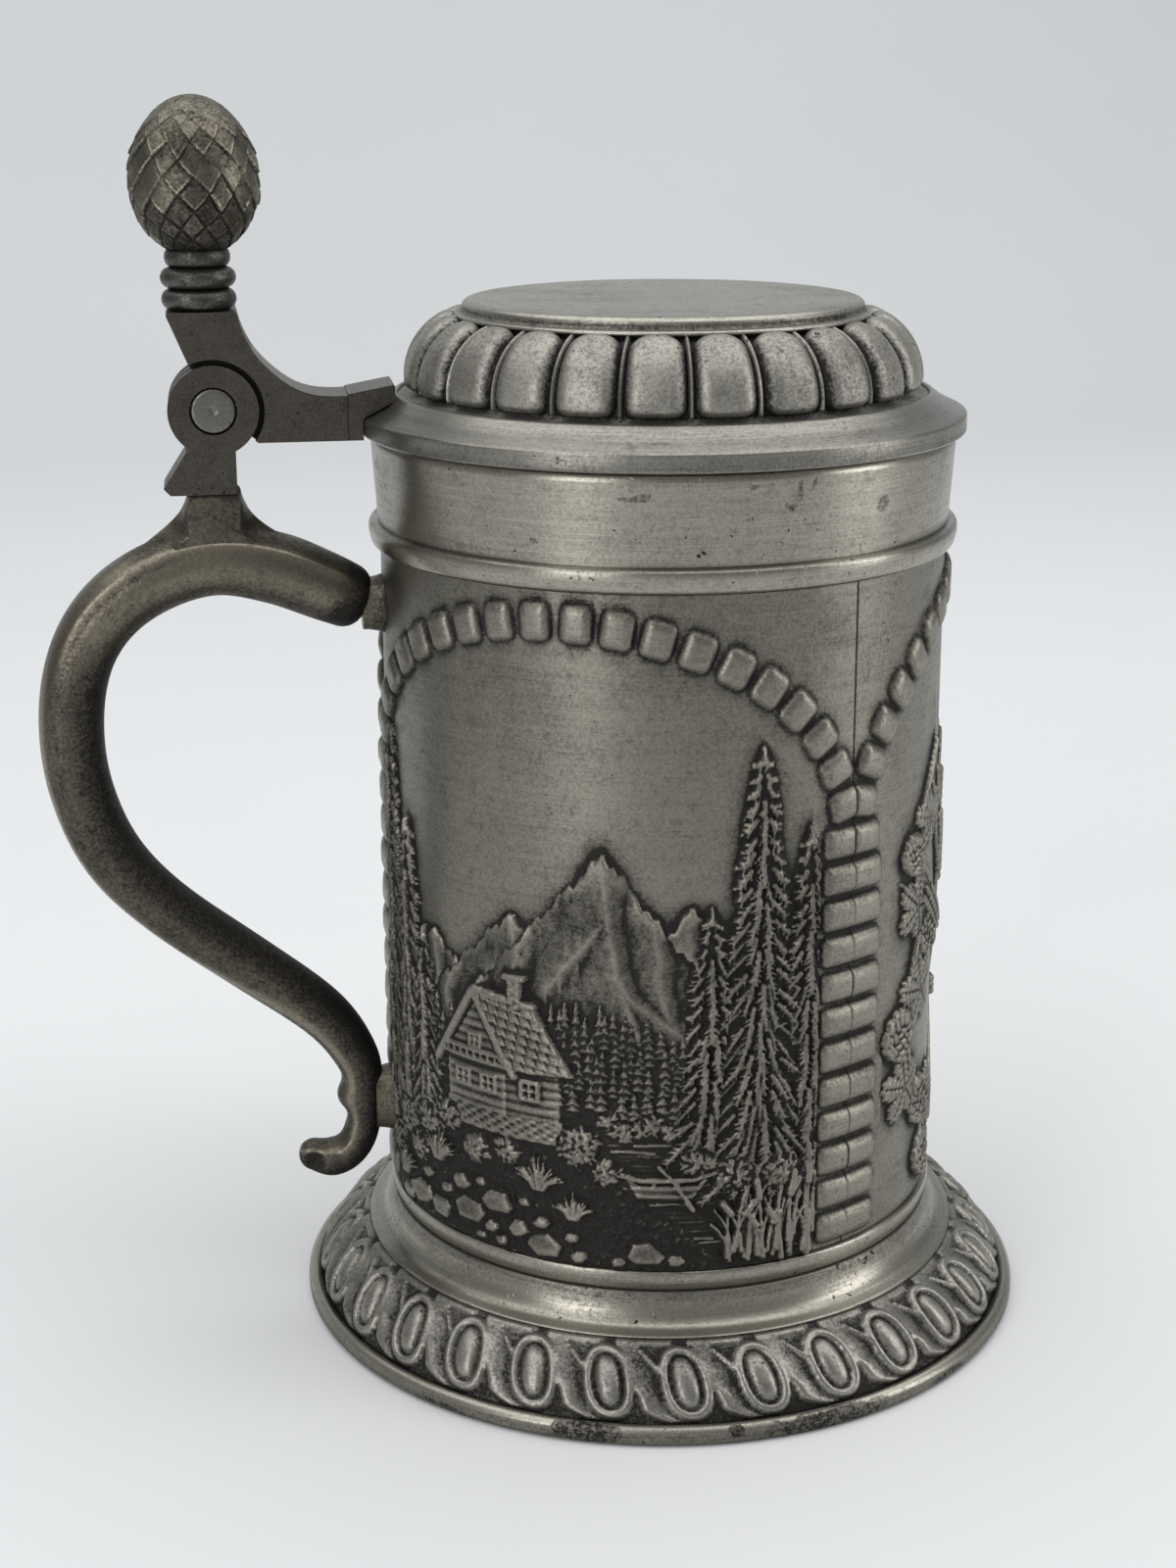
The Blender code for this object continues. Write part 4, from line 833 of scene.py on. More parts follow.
def cask_picture(relief):
    """A cask on a stand under a hop garland."""
    where, s, z = relief.patch(-24, 24, 38, 74)
    reach = 16.5 - 3.2 * (s / 23) ** 2
    share = (z - 56) / reach
    stave = np.abs((share * 5.5) % 1.0 - 0.5)
    belly = np.sqrt(np.clip(1 - share ** 2 * 0.85, 0, 1))
    top = 1.7 * belly - 0.3 * (stave > 0.44) + 0.05 * np.sin(z * 5 + 0.8 * np.sin(s))
    hoop = np.minimum(np.abs(np.abs(s) - 20.5), np.abs(np.abs(s) - 11.5))
    top = np.where(hoop < 1.5, 0.3 + 1.75 * belly, top)
    relief.cover(where, (np.abs(s) < 23) & (np.abs(share) < 1), top, 0.3)
    relief.blob(0, 59, 1.9, 1.9, 0, 2.0, 0.5)
    relief.blob(0, 59, 1.1, 1.1, 0, 2.3, 0.4)
    for side in (-1, 1):
        leg = side * 15
        relief.slab([(leg - 3.2, 32), (leg + 3.2, 32), (leg + 2.4, 43), (leg - 2.4, 43)], 1.2, 0.6,
                    lambda s, z: 0.08 * np.sin(s * 5 + np.sin(z)))
        line = ((2, 97), (10, 99), (19, 95), (27, 87), (31, 76), (32, 64), (33, 52))
        vine(relief, [(side * s, z) for s, z in line], (6.5, 6.5, 6.5, 6.0, 5.5), 1.1)
        relief.ear([(side * 14, 72), (side * 6, 79), (side * 0.5, 84)], 1.2)
    relief.slab(oblong(-26, 26, 30, 33), 1.4, 0.6, lambda s, z: 0.08 * np.sin(z * 5 + np.sin(s)))
    for s in np.linspace(-36, 36, 15):
        relief.tuft(s + relief.chance.uniform(-1, 1), 23.6, relief.chance.uniform(3.6, 5.6), 1.0)


# Each panel's middle in degrees, its picture and the side on which the lower handle lug takes the stones' place.
PICTURES = {
    "wall_panel_left": (240.0, lake_picture, -1),
    "wall_panel_front": (0.0, sheaf_picture, 0),
    "wall_panel_right": (120.0, cask_picture, 1),
}


def panel_relief(picture, bare_side, proud, scale):
    """The finished height map of one panel and the hollows in it."""
    relief = Relief()
    picture(relief)
    limit = blurred(relief.picture_limit().astype(float), 2)
    relief.height = (0.6 * relief.height + 0.4 * blurred(relief.height, 1)) * limit * scale
    relief.rough *= limit
    form = (relief.height > FORM_LEVEL).astype(float)
    # Darker on the raised forms, more where they are rough, and on the flat wall close round them.
    form_darkening = blurred(form, 3) * (0.22 + 0.4 * np.clip(blurred(relief.rough, 3) / 0.5, 0, 1))
    form_darkening += 0.75 * blurred(form, 90) * (1 - form)
    relief.stones(proud, bare_side)
    tone = np.clip(hollows(relief.height, 10, 90) - form_darkening, -1.2, 1.0)
    # Painted shadow on the flat wall round the stones: a narrow dark edge and a wider soft shade. On the stones their
    # painted light from stones() takes the place of the tone.
    cut = (relief.stone > NO_STONE).astype(float)
    beside = blurred(cut, 40)
    tone = np.where((beside > 0.005) & (relief.height < 0.02), -1.3 * blurred(cut, 5) - 0.5 * beside, tone)
    tone = np.where(relief.stone > NO_STONE, relief.stone, tone)
    seams = [0, -1]
    relief.height[:, seams] -= 0.07
    tone[:, seams] = np.where(relief.stone[:, seams] > NO_STONE, tone[:, seams] - 0.3, -0.85)
    return relief, tone


def wall_panel(centre, relief, tone, first, last):
    """Part of a wall panel, between two columns of its map, bent round the drum with edges and a plain back."""
    columns = last - first

    def place(across, along):
        i, j = grid_line(along, PANEL_ROWS), first + grid_line(across, columns)
        angle = math.radians(centre) + relief.s[j] / WALL_RADIUS
        radius = WALL_RADIUS + relief.height[i, j]
        points = (radius * np.cos(angle), radius * np.sin(angle), relief.z[i])
        return points, {"hollow": tone[i, j], "rough": relief.rough[i, j]}

    bm = sheet(columns, PANEL_ROWS, place)
    rims = []
    for z in (WALL_LOW, WALL_HIGH):
        edge = [e for e in bm.edges if e.is_boundary and all(abs(v.co.z - z) < 1e-4 for v in e.verts)]
        grown = bmesh.ops.extrude_edge_only(bm, edges=edge)["geom"]
        for vert in points_of(grown):
            flat = Vector((vert.co.x, vert.co.y, 0.0)).normalized() * WALL_INNER
            vert.co.x, vert.co.y = flat.x, flat.y
        rims += [g for g in grown if isinstance(g, bmesh.types.BMEdge)]
    rims = [e for e in rims if e.is_boundary and all(math.hypot(*v.co.xy) < WALL_INNER + 0.01 for v in e.verts)]
    bmesh.ops.bridge_loops(bm, edges=rims)
    bmesh.ops.holes_fill(bm, edges=[e for e in bm.edges if e.is_boundary], sides=0)
    for edge in bm.edges:
        edge.smooth = all(len(f.verts) == 4 and f.normal.z ** 2 < 0.98 for f in edge.link_faces)
    return bm


def foot_border(turn, t, repeats, egg_height):
    """Height and tone of the foot's border of eggs and twists; turn counts repeats and t runs up the slope."""
    pitch, length = 2 * math.pi * BORDER_RADIUS / repeats, 12.0
    egg_wide, egg_tall, egg_power = 2.1, 4.1, 2.4
    ring_wide, ring_tall, ring_power = 3.1, 4.7, 2.3
    y = (t - 0.5) * length
    x = ((turn + 0.5) % 1.0 - 0.5) * pitch
    x = (x + 0.19 * y + pitch / 2) % pitch - pitch / 2
    y = y + 0.4
    wide, tall = np.abs(x), np.abs(y)
    egg = ((wide / egg_wide) ** egg_power + (tall / egg_tall) ** egg_power) ** (1 / egg_power)
    oval = ((wide / ring_wide) ** ring_power + (tall / ring_tall) ** ring_power + 1e-9) ** (1 / ring_power)
    slope = oval ** (1 - ring_power) * np.hypot(wide ** (ring_power - 1) / ring_wide ** ring_power,
                                                tall ** (ring_power - 1) / ring_tall ** ring_power)
    ring = (oval - 1) / np.maximum(slope, 0.05)
    across = np.where(x > -1.0, x, x + pitch)
    turn_in = np.clip((-3.6 - y) / 2.0, 0, 1)
    joined = rise((y + 2.2) / 2.2)
    left = 3.7 + 0.65 * np.clip((1.5 - y) / 5.0, 0, 1) ** 2 + 3.6 * turn_in ** 2
    left = left - 1.2 * rise((y - 1.0) / 4.0) - 0.8 * joined
    right = pitch - 3.8 * np.sqrt(np.clip(1 - (y / 5.4) ** 2, 0, 1)) - 1.6 * rise((y - 1.2) / 3.0)
    into = (across - left) / np.sqrt(1 + (3.6 * turn_in) ** 2)
    share = np.clip((across - left - 0.8) / np.maximum(right - left - 0.8, 0.8), 0, 1)
    flat = rise((y - 3.0) / 2.4)
    ribbon = (0.95 - 0.2 * joined) * bulge(into / 0.9) - 0.9 * share ** 1.3
    ribbon += (0.3 - ribbon) * flat
    height = np.where(ring > 0, np.where(into > 0, ribbon, -0.8), -0.4)
    # Painted light on the twists: each ribbon lighter at its left edge and darker toward the next ring, and the gaps
    # between ring and ribbon and the ground outside the rings painted dark as deep shadow.
    tone = 0.3 * (1 - rise(into / 1.6)) - 0.75 * share ** 1.1 * (1 - 0.5 * flat) - 0.1
    tone = np.where(ring > 0, np.where(into > 0, tone, -1.0), -0.9)
    away = np.where(x > 4.5, x - pitch, x)
    tip = np.clip((y - 1.2) / 3.4, 0, 1)
    line = -3.25 - 2.8 * tip
    spur = np.abs(away - line) / (0.75 - 0.35 * tip)
    recess = (away > line) & (away < -0.2) & (ring > 0) & (y > 1.8)
    height = np.where(recess, np.minimum(height, 0.3 - 0.7 * rise((5.6 - y) / 1.1)), height)
    # The recess beside each spur is painted darker toward its foot as shade.
    tone = np.where(recess, -0.1 - 0.55 * rise((5.7 - y) / 1.2), tone)
    on_spur = (y > 1.2) & (y < 4.7) & (spur < 1)
    height = np.where(on_spur, np.maximum(height, (0.85 - 0.25 * tip) * bulge(1 - spur)), height)
    # Spurs, ring crests and eggs: the crests stored lighter, each egg darker toward its edge.
    tone = np.where(on_spur & (spur < 0.75), 0.15, tone)
    height = np.maximum(height, 0.95 * (1 - 0.15 * rise((y - 2.5) / 2.5)) * bulge(1 - np.abs(ring) / 0.74) ** 0.8)
    tone = np.where(np.abs(ring) < 0.64, 0.25, tone)
    height = np.where(egg < 1, np.maximum(height, -0.4 + egg_height * bulge(1.25 * (1 - egg))), height)
    tone = np.where(egg < 1, 0.15 - 0.9 * (1 - rise((1 - egg) / 0.3)), tone)
    return height * rise(t / 0.02) * rise((1 - t) / 0.03), tone


# Corroded patches on the rim: angle and half width in degrees, height and half height in millimetres.
RIM_STAINS = ((249.5, 6.0, 1.6, 2.0), (271.5, 1.3, 2.2, 1.0), (286.0, 11.0, 1.3, 1.9), (226.0, 6.0, 0.6, 1.0),
              (310.0, 5.0, 0.8, 1.2), (28.0, 8.0, 0.9, 1.3), (101.0, 6.0, 1.0, 1.2), (158.0, 9.0, 0.5, 1.0))


# Scratches and dents on the mouth band, in the same measures.
BAND_STAINS = ((254.5, 3.4, 140.2, 0.5), (257.0, 1.4, 140.6, 0.5), (283.8, 1.5, 138.7, 0.8), (285.6, 0.7, 141.0, 1.7),
               (288.6, 0.7, 141.4, 1.2), (277.0, 1.2, 141.5, 0.5), (292.0, 1.0, 136.5, 0.5), (305.0, 1.6, 137.4, 1.3),
               (236.0, 1.0, 133.5, 0.5), (40.0, 2.5, 137.5, 0.5), (96.0, 1.5, 135.0, 0.7), (150.0, 3.0, 139.5, 0.5))


def stained(bm, stains, most):
    """Store corroded patches on a turned piece, up to this strength."""
    stain = bm.verts.layers.float.new("stain")
    for vert in bm.verts:
        turn = math.degrees(math.atan2(vert.co.y, vert.co.x)) % 360
        for middle, wide, level, tall in stains:
            away = math.hypot(((turn - middle + 180) % 360 - 180) / wide, (vert.co.z - level) / tall)
            vert[stain] = max(vert[stain], min(most, 1.6 - away))
    return bm


def rim_piece():
    """The foot's rounded rim, with its corroded patches."""
    side = [(RIM_RADIUS, 0.9 + 0.2 * n, 0) for n in range(1, 7)]
    bm = turned(eased([(55.0, 0.0, 0), (58.9, 0.0, 0.6), (RIM_RADIUS, 0.9, 0.5)] + side
                      + [(59.5, 2.4, 0.3), (59.0, 3.0, 0.4), (58.3, 3.2, 0.4), (57.4, 2.75, 0.2),
                         (57.2, 2.2, 0)]), steps=360)
    return stained(bm, RIM_STAINS, 1.0)


def foot_piece(sizes):
    """The foot's slope: one turned sheet with the border of eggs and twists raised on it."""
    low, high, sweep = (57.1, 2.7), (48.9, 12.3), 56
    before = [(56.3, 1.2), (57.1, 2.55)]
    after = eased([(48.9, 12.3, 0), (48.4, 12.2, 0), (47.9, 8.5, 0), (50.6, 7.4, 2.0), (55.0, 0.3, 0), (56.3, 1.2, 0)])
    slope = [tuple(a + (b - a) * n / sweep for a, b in zip(low, high)) for n in range(sweep)]
    profile = np.array(before + slope + after)
    share = np.concatenate([np.zeros(len(before)), np.arange(sweep) / sweep, np.ones(len(after))])
    columns = EGG_COLUMNS * sizes.egg_repeats
    turns = np.arange(columns + 1) / columns * sizes.egg_repeats
    grid_turn, grid_share = np.meshgrid(turns, share)
    border, tone = foot_border(grid_turn, grid_share, sizes.egg_repeats, sizes.egg_height / MM)
    border[share == 0], border[share == 1] = 0.0, 0.0
    tone = 0.4 * hollows(border, 5, 30, wrap=True) + blurred(tone, 2, wrap=True)
    # Painted shadow along the border's foot above the rim, and a fainter one along its top edge.
    tone -= (0.8 * bell(share, 0.01, 0.03) + 0.3 * bell(share, 1, 0.02))[:, None]
    normal = Vector((high[1] - low[1], low[0] - high[0])).normalized()
    swell = border + (4 * share * (1 - share))[:, None]
    return turned_sheet(profile, np.tile(normal, (len(profile), 1)), swell, np.clip(tone, -1, 1), EGG_START)


def lid_piece(sizes):
    """The lid's dome of pillow gadroons parted by thin ribs."""
    base, sweep, steps = math.radians(-8.0), math.radians(84.0), 58
    middle_r, middle_z, groove = 29.2, 151.75, 9.1
    inside = eased([(0.0, 159.8, 0), (29.5, 159.8, 2.0), (34.0, 157.0, 2.0), (36.4, 151.4, 2.0), (39.5, 147.5, 0),
                    (41.75, 147.5, 0.2), (41.75, 149.15, 0.3), (40.6, 149.55, 0.4), (38.4, 150.0, 0)], 3)
    dome = [(middle_r + groove * math.cos(a), middle_z + groove * math.sin(a))
            for a in (base + sweep * n / steps for n in range(steps + 1))]
    top = [(30.6, 160.95), (30.2, 161.45), (30.2, 162.15), (0.0, 162.15)]
    profile = np.array(inside + dome + top)
    share = np.concatenate([np.zeros(len(inside)), np.arange(steps + 1) / steps, np.ones(len(top))])
    on_dome = np.concatenate([np.zeros(len(inside)), np.ones(steps + 1), np.zeros(len(top))])
    columns, pitch = GADROON_COLUMNS * sizes.gadroons, 360 / sizes.gadroons
    turns = (np.arange(columns + 1) / columns * sizes.gadroons) % 1.0 - 0.5
    grid_turn, grid_share = np.meshgrid(turns, share)
    radius = np.meshgrid(turns, profile[:, 0])[1]
    side = np.abs(np.radians(grid_turn * pitch)) * radius
    half = np.maximum(np.radians(0.437 * pitch) * radius, 1e-9)
    up = (grid_share - 0.5) * sweep * groove
    reach = 0.496 * sweep * groove
    corner = np.where(grid_share > 0.5, np.minimum(3.4, half), 3.0)
    a = side - half + corner
    b = np.where(up > 0, up - reach, -up - reach - 1.0) + corner
    inward = inside_box(a, b, corner)
    lobe = sizes.gadroon_height / MM * bulge(inward / 2.3) * bulge((up + reach) / 1.1)
    lobe = lobe * (0.88 + 0.12 * bulge(inward / half))
    rib_away = np.radians((0.5 - np.abs(grid_turn)) * pitch) * radius
    rib = 0.85 * bulge(1 - rib_away / 0.38) * rise(grid_share / 0.02)
    swell = np.maximum(np.where(inward > 0, lobe, 0.0), rib) * on_dome[:, None]
    # Painted light on the gadroons: each lobe darker toward its sides and at its foot above the flange as painted
    # shade, and darker toward its top, partly brown tarnish and partly painted shade under the disc; each rib painted
    # with a light crest, the grooves beside them dark, and the parts off the dome a little dark.
    tone = hollows(swell, 6, 36, wrap=True)
    tone = np.where(tone > 0, 0.2 * tone, 0.6 * tone)
    tone -= (1 - 0.55 * rise((grid_share - 0.72) / 0.2)) * (1 - rise((inward + 0.15) / 1.5))
    tone -= 0.45 * (1 - rise((up + reach) / 0.9)) + 0.2 * rise((grid_share - 0.95) / 0.05)
    tone = np.where(rib_away < 0.34, 1.2 * rib - 0.5, np.where(inward < 0, -1.0, tone))
    tone = np.where(on_dome[:, None] > 0, np.clip(tone, -1, 1), -0.25)
    lean = np.stack([np.cos(base + share * sweep), np.sin(base + share * sweep)], axis=1)
    return turned_sheet(profile, lean, swell, tone, GADROON_START)


def cone_piece(sizes):
    """The pine cone: an egg under a net of downward-pointing scales with raised edges."""
    columns, rows = SCALE_COLUMNS * sizes.cone_scales, 150
    low, high, middle, girth = 172.0, 194.2, 182.0, 9.7
    turns = np.arange(columns + 1) / columns * sizes.cone_scales
    along = np.arange(rows + 1) / rows
    z = low + (high - low) * (0.5 - 0.5 * np.cos(math.pi * along))
    t = np.where(z < middle, (middle - z) / (middle - low), (z - middle) / (high - middle))
    radius = girth * np.sqrt(np.clip(1 - np.where(z < middle, 0.8 * t ** 2.2, t ** 1.9), 0, 1))
    width = 2 * math.pi * np.maximum(radius, 0.5)[:, None] / sizes.cone_scales
    step = np.hypot(np.diff(z), np.diff(radius)) / (1.25 * np.maximum(width[1:, 0], 2.0))
    u, v = np.meshgrid(turns, np.concatenate([[0.0], np.cumsum(step)]))
    around = 2 * math.pi * u / sizes.cone_scales
    u = u + 0.06 * np.sin(3 * around + 1.3 * v) + 0.04 * np.sin(5 * around - 2.4 * v)
    v = v + 0.05 * np.sin(4 * around - 1.1 * v + 1.0) + 0.03 * np.sin(7 * around + 2.7 * v)
    p, q = u + v, v - u
    turns_p, turns_q = np.floor(p), np.floor(q)

    def chance(a, b, seed):
        value = np.sin(12.9 * a + 78.2 * (b + seed)) * 437.5
        return value - np.floor(value)

    bald = rise((z - 186) / 5)[:, None]
    low_zone = 1 - rise((z - 176) / 7)[:, None]
    edge_lip, edge_gap = np.zeros_like(u), np.zeros_like(u)
    for line, other, over, seed in ((p, q, turns_p, 0.0), (q, p, turns_q, 3.7)):
        above = (line % 1.0) * width * 0.8
        below = (-line % 1.0) * width * 0.8
        lift = chance(over, np.floor(other), seed)
        drop = chance(over + 1, np.floor(other), seed)
        taper = rise(1.25 - (other % 1.0))
        edge_lip = np.maximum(edge_lip, bulge(1 - above / 0.3) * taper * rise((lift - 0.3) / 0.35))
        edge_gap = np.maximum(edge_gap, bulge(1 - below / (0.22 + 0.35 * drop)) * taper * (0.35 + 0.65 * drop))
    cell = chance(turns_p, turns_q, 9.1)
    edge_lip *= rise((z - 175) / 4)[:, None] * (1 - 0.85 * bald)
    edge_gap *= (0.35 + 0.65 * low_zone) * (1 - bald)
    climb = 0.5 * (p % 1.0 + q % 1.0)
    height = 0.38 * (1 - climb) * (0.5 + cell) * (1 - 0.6 * bald) + 0.2 * edge_lip - 0.45 * edge_gap - 0.25
    height *= rise(np.sin(math.pi * along) / 0.2)[:, None]
    # Painted light on the cone: the raised lower lip of each scale painted as a highlight and the gap under it as
    # shadow, each scale darker toward its upper part, the smooth top lighter and the lower part and foot darker. Each
    # scale's own shade varies at random.
    tone = 0.3 * hollows(height, 4, 24, wrap=True) + 1.1 * edge_lip - 1.2 * edge_gap
    tone += 0.55 * (cell - 0.65) * (1 - 0.5 * bald) - 0.25 * rise((climb - 0.55) / 0.4) * (1 - bald)
    tone += 0.25 * bald - 0.1 * low_zone - 0.7 * rise((173.6 - z) / 1.2)[:, None]
    tone = np.clip(tone, -1, 1)

    def place(across, up):
        i, j = grid_line(up, rows), grid_line(across, columns)
        r = np.where(i == rows, 0.0, radius[i] + height[i, j] * np.minimum(1, radius[i] / 3))
        angle = 2 * math.pi * across + 0.2
        points = (r * np.cos(angle) - CONE_REACH, r * np.sin(angle), z[i])
        return points, {"hollow": tone[i, j]}

    return closed(sheet(columns, rows, place))


# The handle's line, as the reach, height and half thickness of points from its upper end to its tip.
HANDLE_PATH = (
    (50.0, 118.9, 5.0), (53.5, 120.5, 5.3), (61.0, 123.6, 5.5), (70.0, 124.9, 5.2), (79.0, 122.6, 5.3),
    (86.3, 117.6, 5.2), (91.0, 110.3, 5.05), (93.0, 100.5, 5.0), (92.2, 89.5, 4.9), (88.0, 78.3, 4.8),
    (80.0, 69.0, 4.5), (67.5, 59.1, 4.4), (55.8, 49.7, 4.1), (50.6, 42.0, 3.6), (49.8, 37.0, 3.4),
    (49.7, 32.4, 2.95), (50.0, 28.9, 2.85), (51.2, 26.2, 2.85), (53.1, 24.5, 2.95), (55.4, 23.95, 3.0),
    (58.0, 24.6, 2.5),
)


def handle_bar():
    """The handle's scroll: a squared oval with a soft ridge along each side, carried along its line."""
    path = np.array(smooth_path(HANDLE_PATH, 14))
    for _ in range(12):
        path[1:-1] = 0.25 * path[:-2] + 0.5 * path[1:-1] + 0.25 * path[2:]
    tangent = np.gradient(path[:, :2], axis=0)
    tangent /= np.linalg.norm(tangent, axis=1)[:, None]
    arc = np.radians(11.25 * np.arange(1, 9))
    round_off = np.maximum(np.cos(arc), 0.02)
    head = path[0, :2] - np.outer(0.76 * path[0, 2] * np.sin(arc), tangent[0])
    tail = path[-1, :2] + np.outer(path[-1, 2] * np.sin(arc), tangent[-1])
    centre = np.concatenate([head[::-1], path[:, :2], tail])
    thick = np.concatenate([path[0, 2] * round_off[::-1] ** 0.75, path[:, 2], path[-1, 2] * round_off])
    ways = np.concatenate([[tangent[0]] * len(head), tangent, [tangent[-1]] * len(tail)])
    level = centre[:, 1]
    bump = 0.95 * np.exp(-np.abs((level - 34.9) / 1.9) ** 2.6)
    bump = (bump - 0.25 * bell(level, 38.7, 2.0) - 0.3 * bell(level, 31.2, 1.6)) * (centre[:, 0] < 53) * (level < 45)
    crest = rise((level - 106) / 12)
    low_run = rise((66 - level) / 14) * rise((level - 23) / 2)
    tip = path[-1, :2]
    columns, rows = 96, len(centre) - 1

    def place(across, along):
        i = grid_line(along, rows)
        angle = 2 * math.pi * across
        outer, steep = np.cos(angle) > 0, np.abs(np.sin(angle))
        out, side = squared(np.cos(angle), 2 / 2.25), squared(np.sin(angle), 2 / 2.25)
        bare = np.clip((thick[i] - 3.0) / 1.5, 0, 1) * rise((i - 8) / 12)
        bare = np.maximum(bare * (0.12 + 0.88 * crest[i]), low_run[i])
        ridge = 0.24 * bell(steep, 0.78 + 0.1 * low_run[i], 0.08) * outer * bare
        furrow = 0.12 * bell(steep, 0.93, 0.06) * outer * bare * (1 - low_run[i])
        outward = out * thick[i] + bump[i] * np.clip(out, 0, 1) + 0.5 * (ridge - furrow)
        width = side * (thick[i] * 1.15 + ridge - furrow)
        reach = centre[i, 0] - ways[i, 1] * outward
        z = centre[i, 1] + ways[i, 0] * outward
        dimple = rise(1.4 - np.hypot(reach - tip[0], z - tip[1]) / 1.5)
        width -= np.sign(width) * np.minimum(0.9 * dimple, 0.5 * np.abs(width))
        # Painted light on the handle: the side turned toward the mug painted as shade, and along the lower bar a light
        # strip on the outer side, partly wear and partly painted highlight.
        shade = rise((0.3 - out) / (1.1 + 0.4 * crest[i]))
        strip = bell(out, 0.9 - 0.38 * low_run[i], 0.09 + 0.06 * low_run[i])
        wear_and_sheen = rise((reach - 71) / 7) * crest[i]
        crown = rise((0.76 - steep) / 0.12) * outer * crest[i] * rise((86 - reach) / 5)
        # The ridges painted as highlights and the furrows as shade, changing toward the head; the upper bar painted
        # lighter on its outer side; painted shade in the tip's dimple, at the upper end by the lug, and on the top
        # near the neck against the overhead light.
        tone = (3.0 - 2.2 * wear_and_sheen) * ridge - (2.5 + 5.0 * wear_and_sheen) * furrow
        tone += crest[i] * (0.6 - 1.3 * shade) + (1 - crest[i]) * (1.2 * strip - 0.38 - 0.5 * shade)
        tone -= 0.8 * dimple + 1.2 * rise((22 - i) / 16) + 0.85 * crown
        return (-reach, width, z), {"hollow": np.clip(tone, -1, 1)}

    return closed(sheet(columns, rows, place))


def neck_piece():
    """The flared neck that carries the hinge block, its foot spread along the handle's crown."""
    outer = np.array(bezier((82.5, NECK_LOW), (76.0, 131.0), (73.7, 132.8), (73.6, NECK_HIGH), 40))
    inner = np.array(bezier((55.0, NECK_LOW), (60.5, 129.2), (64.7, 131.2), (65.4, NECK_HIGH), 40))

    def place(across, along):
        angle = 2 * math.pi * across
        z = NECK_LOW + (NECK_HIGH - NECK_LOW) * along
        far, near = (np.interp(z, line[:, 1], line[:, 0]) for line in (outer, inner))
        reach = (far + near) / 2 + (far - near) / 2 * squared(np.cos(angle), 0.6)
        room = np.where(reach > NECK_REACH, far - NECK_REACH, NECK_REACH - near)
        flat = np.minimum(4.0 + 2.2 * rise((130.5 - z) / 3.0), room - 0.5)
        wing = np.clip((np.abs(reach - NECK_REACH) - flat) / np.maximum(room - flat, 0.1), 0, 1)
        y = 4.95 * np.sign(np.sin(angle)) * (1 - wing) ** (0.45 + 1.1 * rise((133.5 - z) / 3.0))
        # Painted shade on the neck: darker at its top under the hinge block and in a band along the sides of its
        # upright plate.
        tone = -0.1 - 0.8 * rise((z - 135.2) / 0.5) - 0.5 * bell(wing, 0.25, 0.2) * rise((z - 128.5) / 3.0)
        return (-reach, y, z), {"hollow": tone}

    return closed(sheet(80, 44, place))


def lug(low, high, outer):
    """A solder stub between the handle and the wall, with a spread foot on the wall."""
    def place(across, along):
        angle = 2 * math.pi * across
        spread_out = 1 + 0.14 * (1 - along) ** 2
        y = 3.6 * spread_out * squared(np.cos(angle), 0.7)
        z = (low + high) / 2 + (high - low) / 2 * spread_out * squared(np.sin(angle), 0.7)
        root = np.sqrt(WALL_RADIUS ** 2 - y ** 2) + 0.02
        # Painted shade: the stub darker toward its foot, in the corner against the wall.
        return (-(root + (outer - root) * along), y, z), {"hollow": 0.05 - 0.5 * (1 - along) ** 2}

    return closed(sheet(32, 18, place))


def knuckled(bm, first):
    """A hinge leaf with its knuckles bored for the pin, and room for every second of the five from the first."""
    bm = combine(bm, hinge_cylinder(KNUCKLE_RADIUS, -HINGE_HALF, HINGE_HALF), "UNION")
    width = (2 * HINGE_HALF - 4 * KNUCKLE_GAP) / 5
    for n in range(first, 5, 2):
        low = -HINGE_HALF + n * (width + KNUCKLE_GAP)
        slot = hinge_cylinder(SWING_RADIUS, low - KNUCKLE_GAP, low + width + KNUCKLE_GAP)
        bm = combine(bm, slot, "DIFFERENCE")
    return combine(bm, hinge_cylinder(PIN_RADIUS + PIN_SLACK, -BORE_HALF, BORE_HALF), "DIFFERENCE")


def arm_piece():
    """The lid arm: knuckles, a hollow top edge, the wedge on the flange and the thumb ledge."""
    curve = smooth_path(((48.9, 150.42), (51.1, 150.38), (54.0, 150.7), (56.9, 151.78), (60.0, 154.1), (62.5, 156.9),
                         (64.1, 160.0), (65.0, 163.1)), 5)
    outline = [(41.75, 147.4), (41.75, 151.6), (42.05, 151.86), (48.85, 150.62), *curve, (75.3, 163.1), (75.3, 162.6),
               (72.2, 155.0), (HINGE_REACH, HINGE_Z), (62.5, 143.6), (45.0, 143.6)]
    arm = prism(outline, HINGE_HALF)
    arm = knuckled(arm, 0)
    joint = combine(prism(oblong(*ARM_JOINT, 142.0, 152.0), HINGE_HALF + 0.3),
                    prism(oblong(48.0, 50.0, 141.0, 153.0), HINGE_HALF - 0.12), "DIFFERENCE")
    arm = combine(arm, joint, "DIFFERENCE")
    seat = eased([(0.0, 152.0, 0), (39.0, 151.2, 0.3), (41.0, 149.9, 0.3), (42.4, 149.25, 0.3), (46.75, 147.0, 0.2),
                  (46.97, 146.6, 0.1), (46.97, 141.6, 0), (0.0, 141.6, 0)])
    return darken_cuts(combine(arm, turned(seat), "DIFFERENCE"), SWING_RADIUS + 0.02)


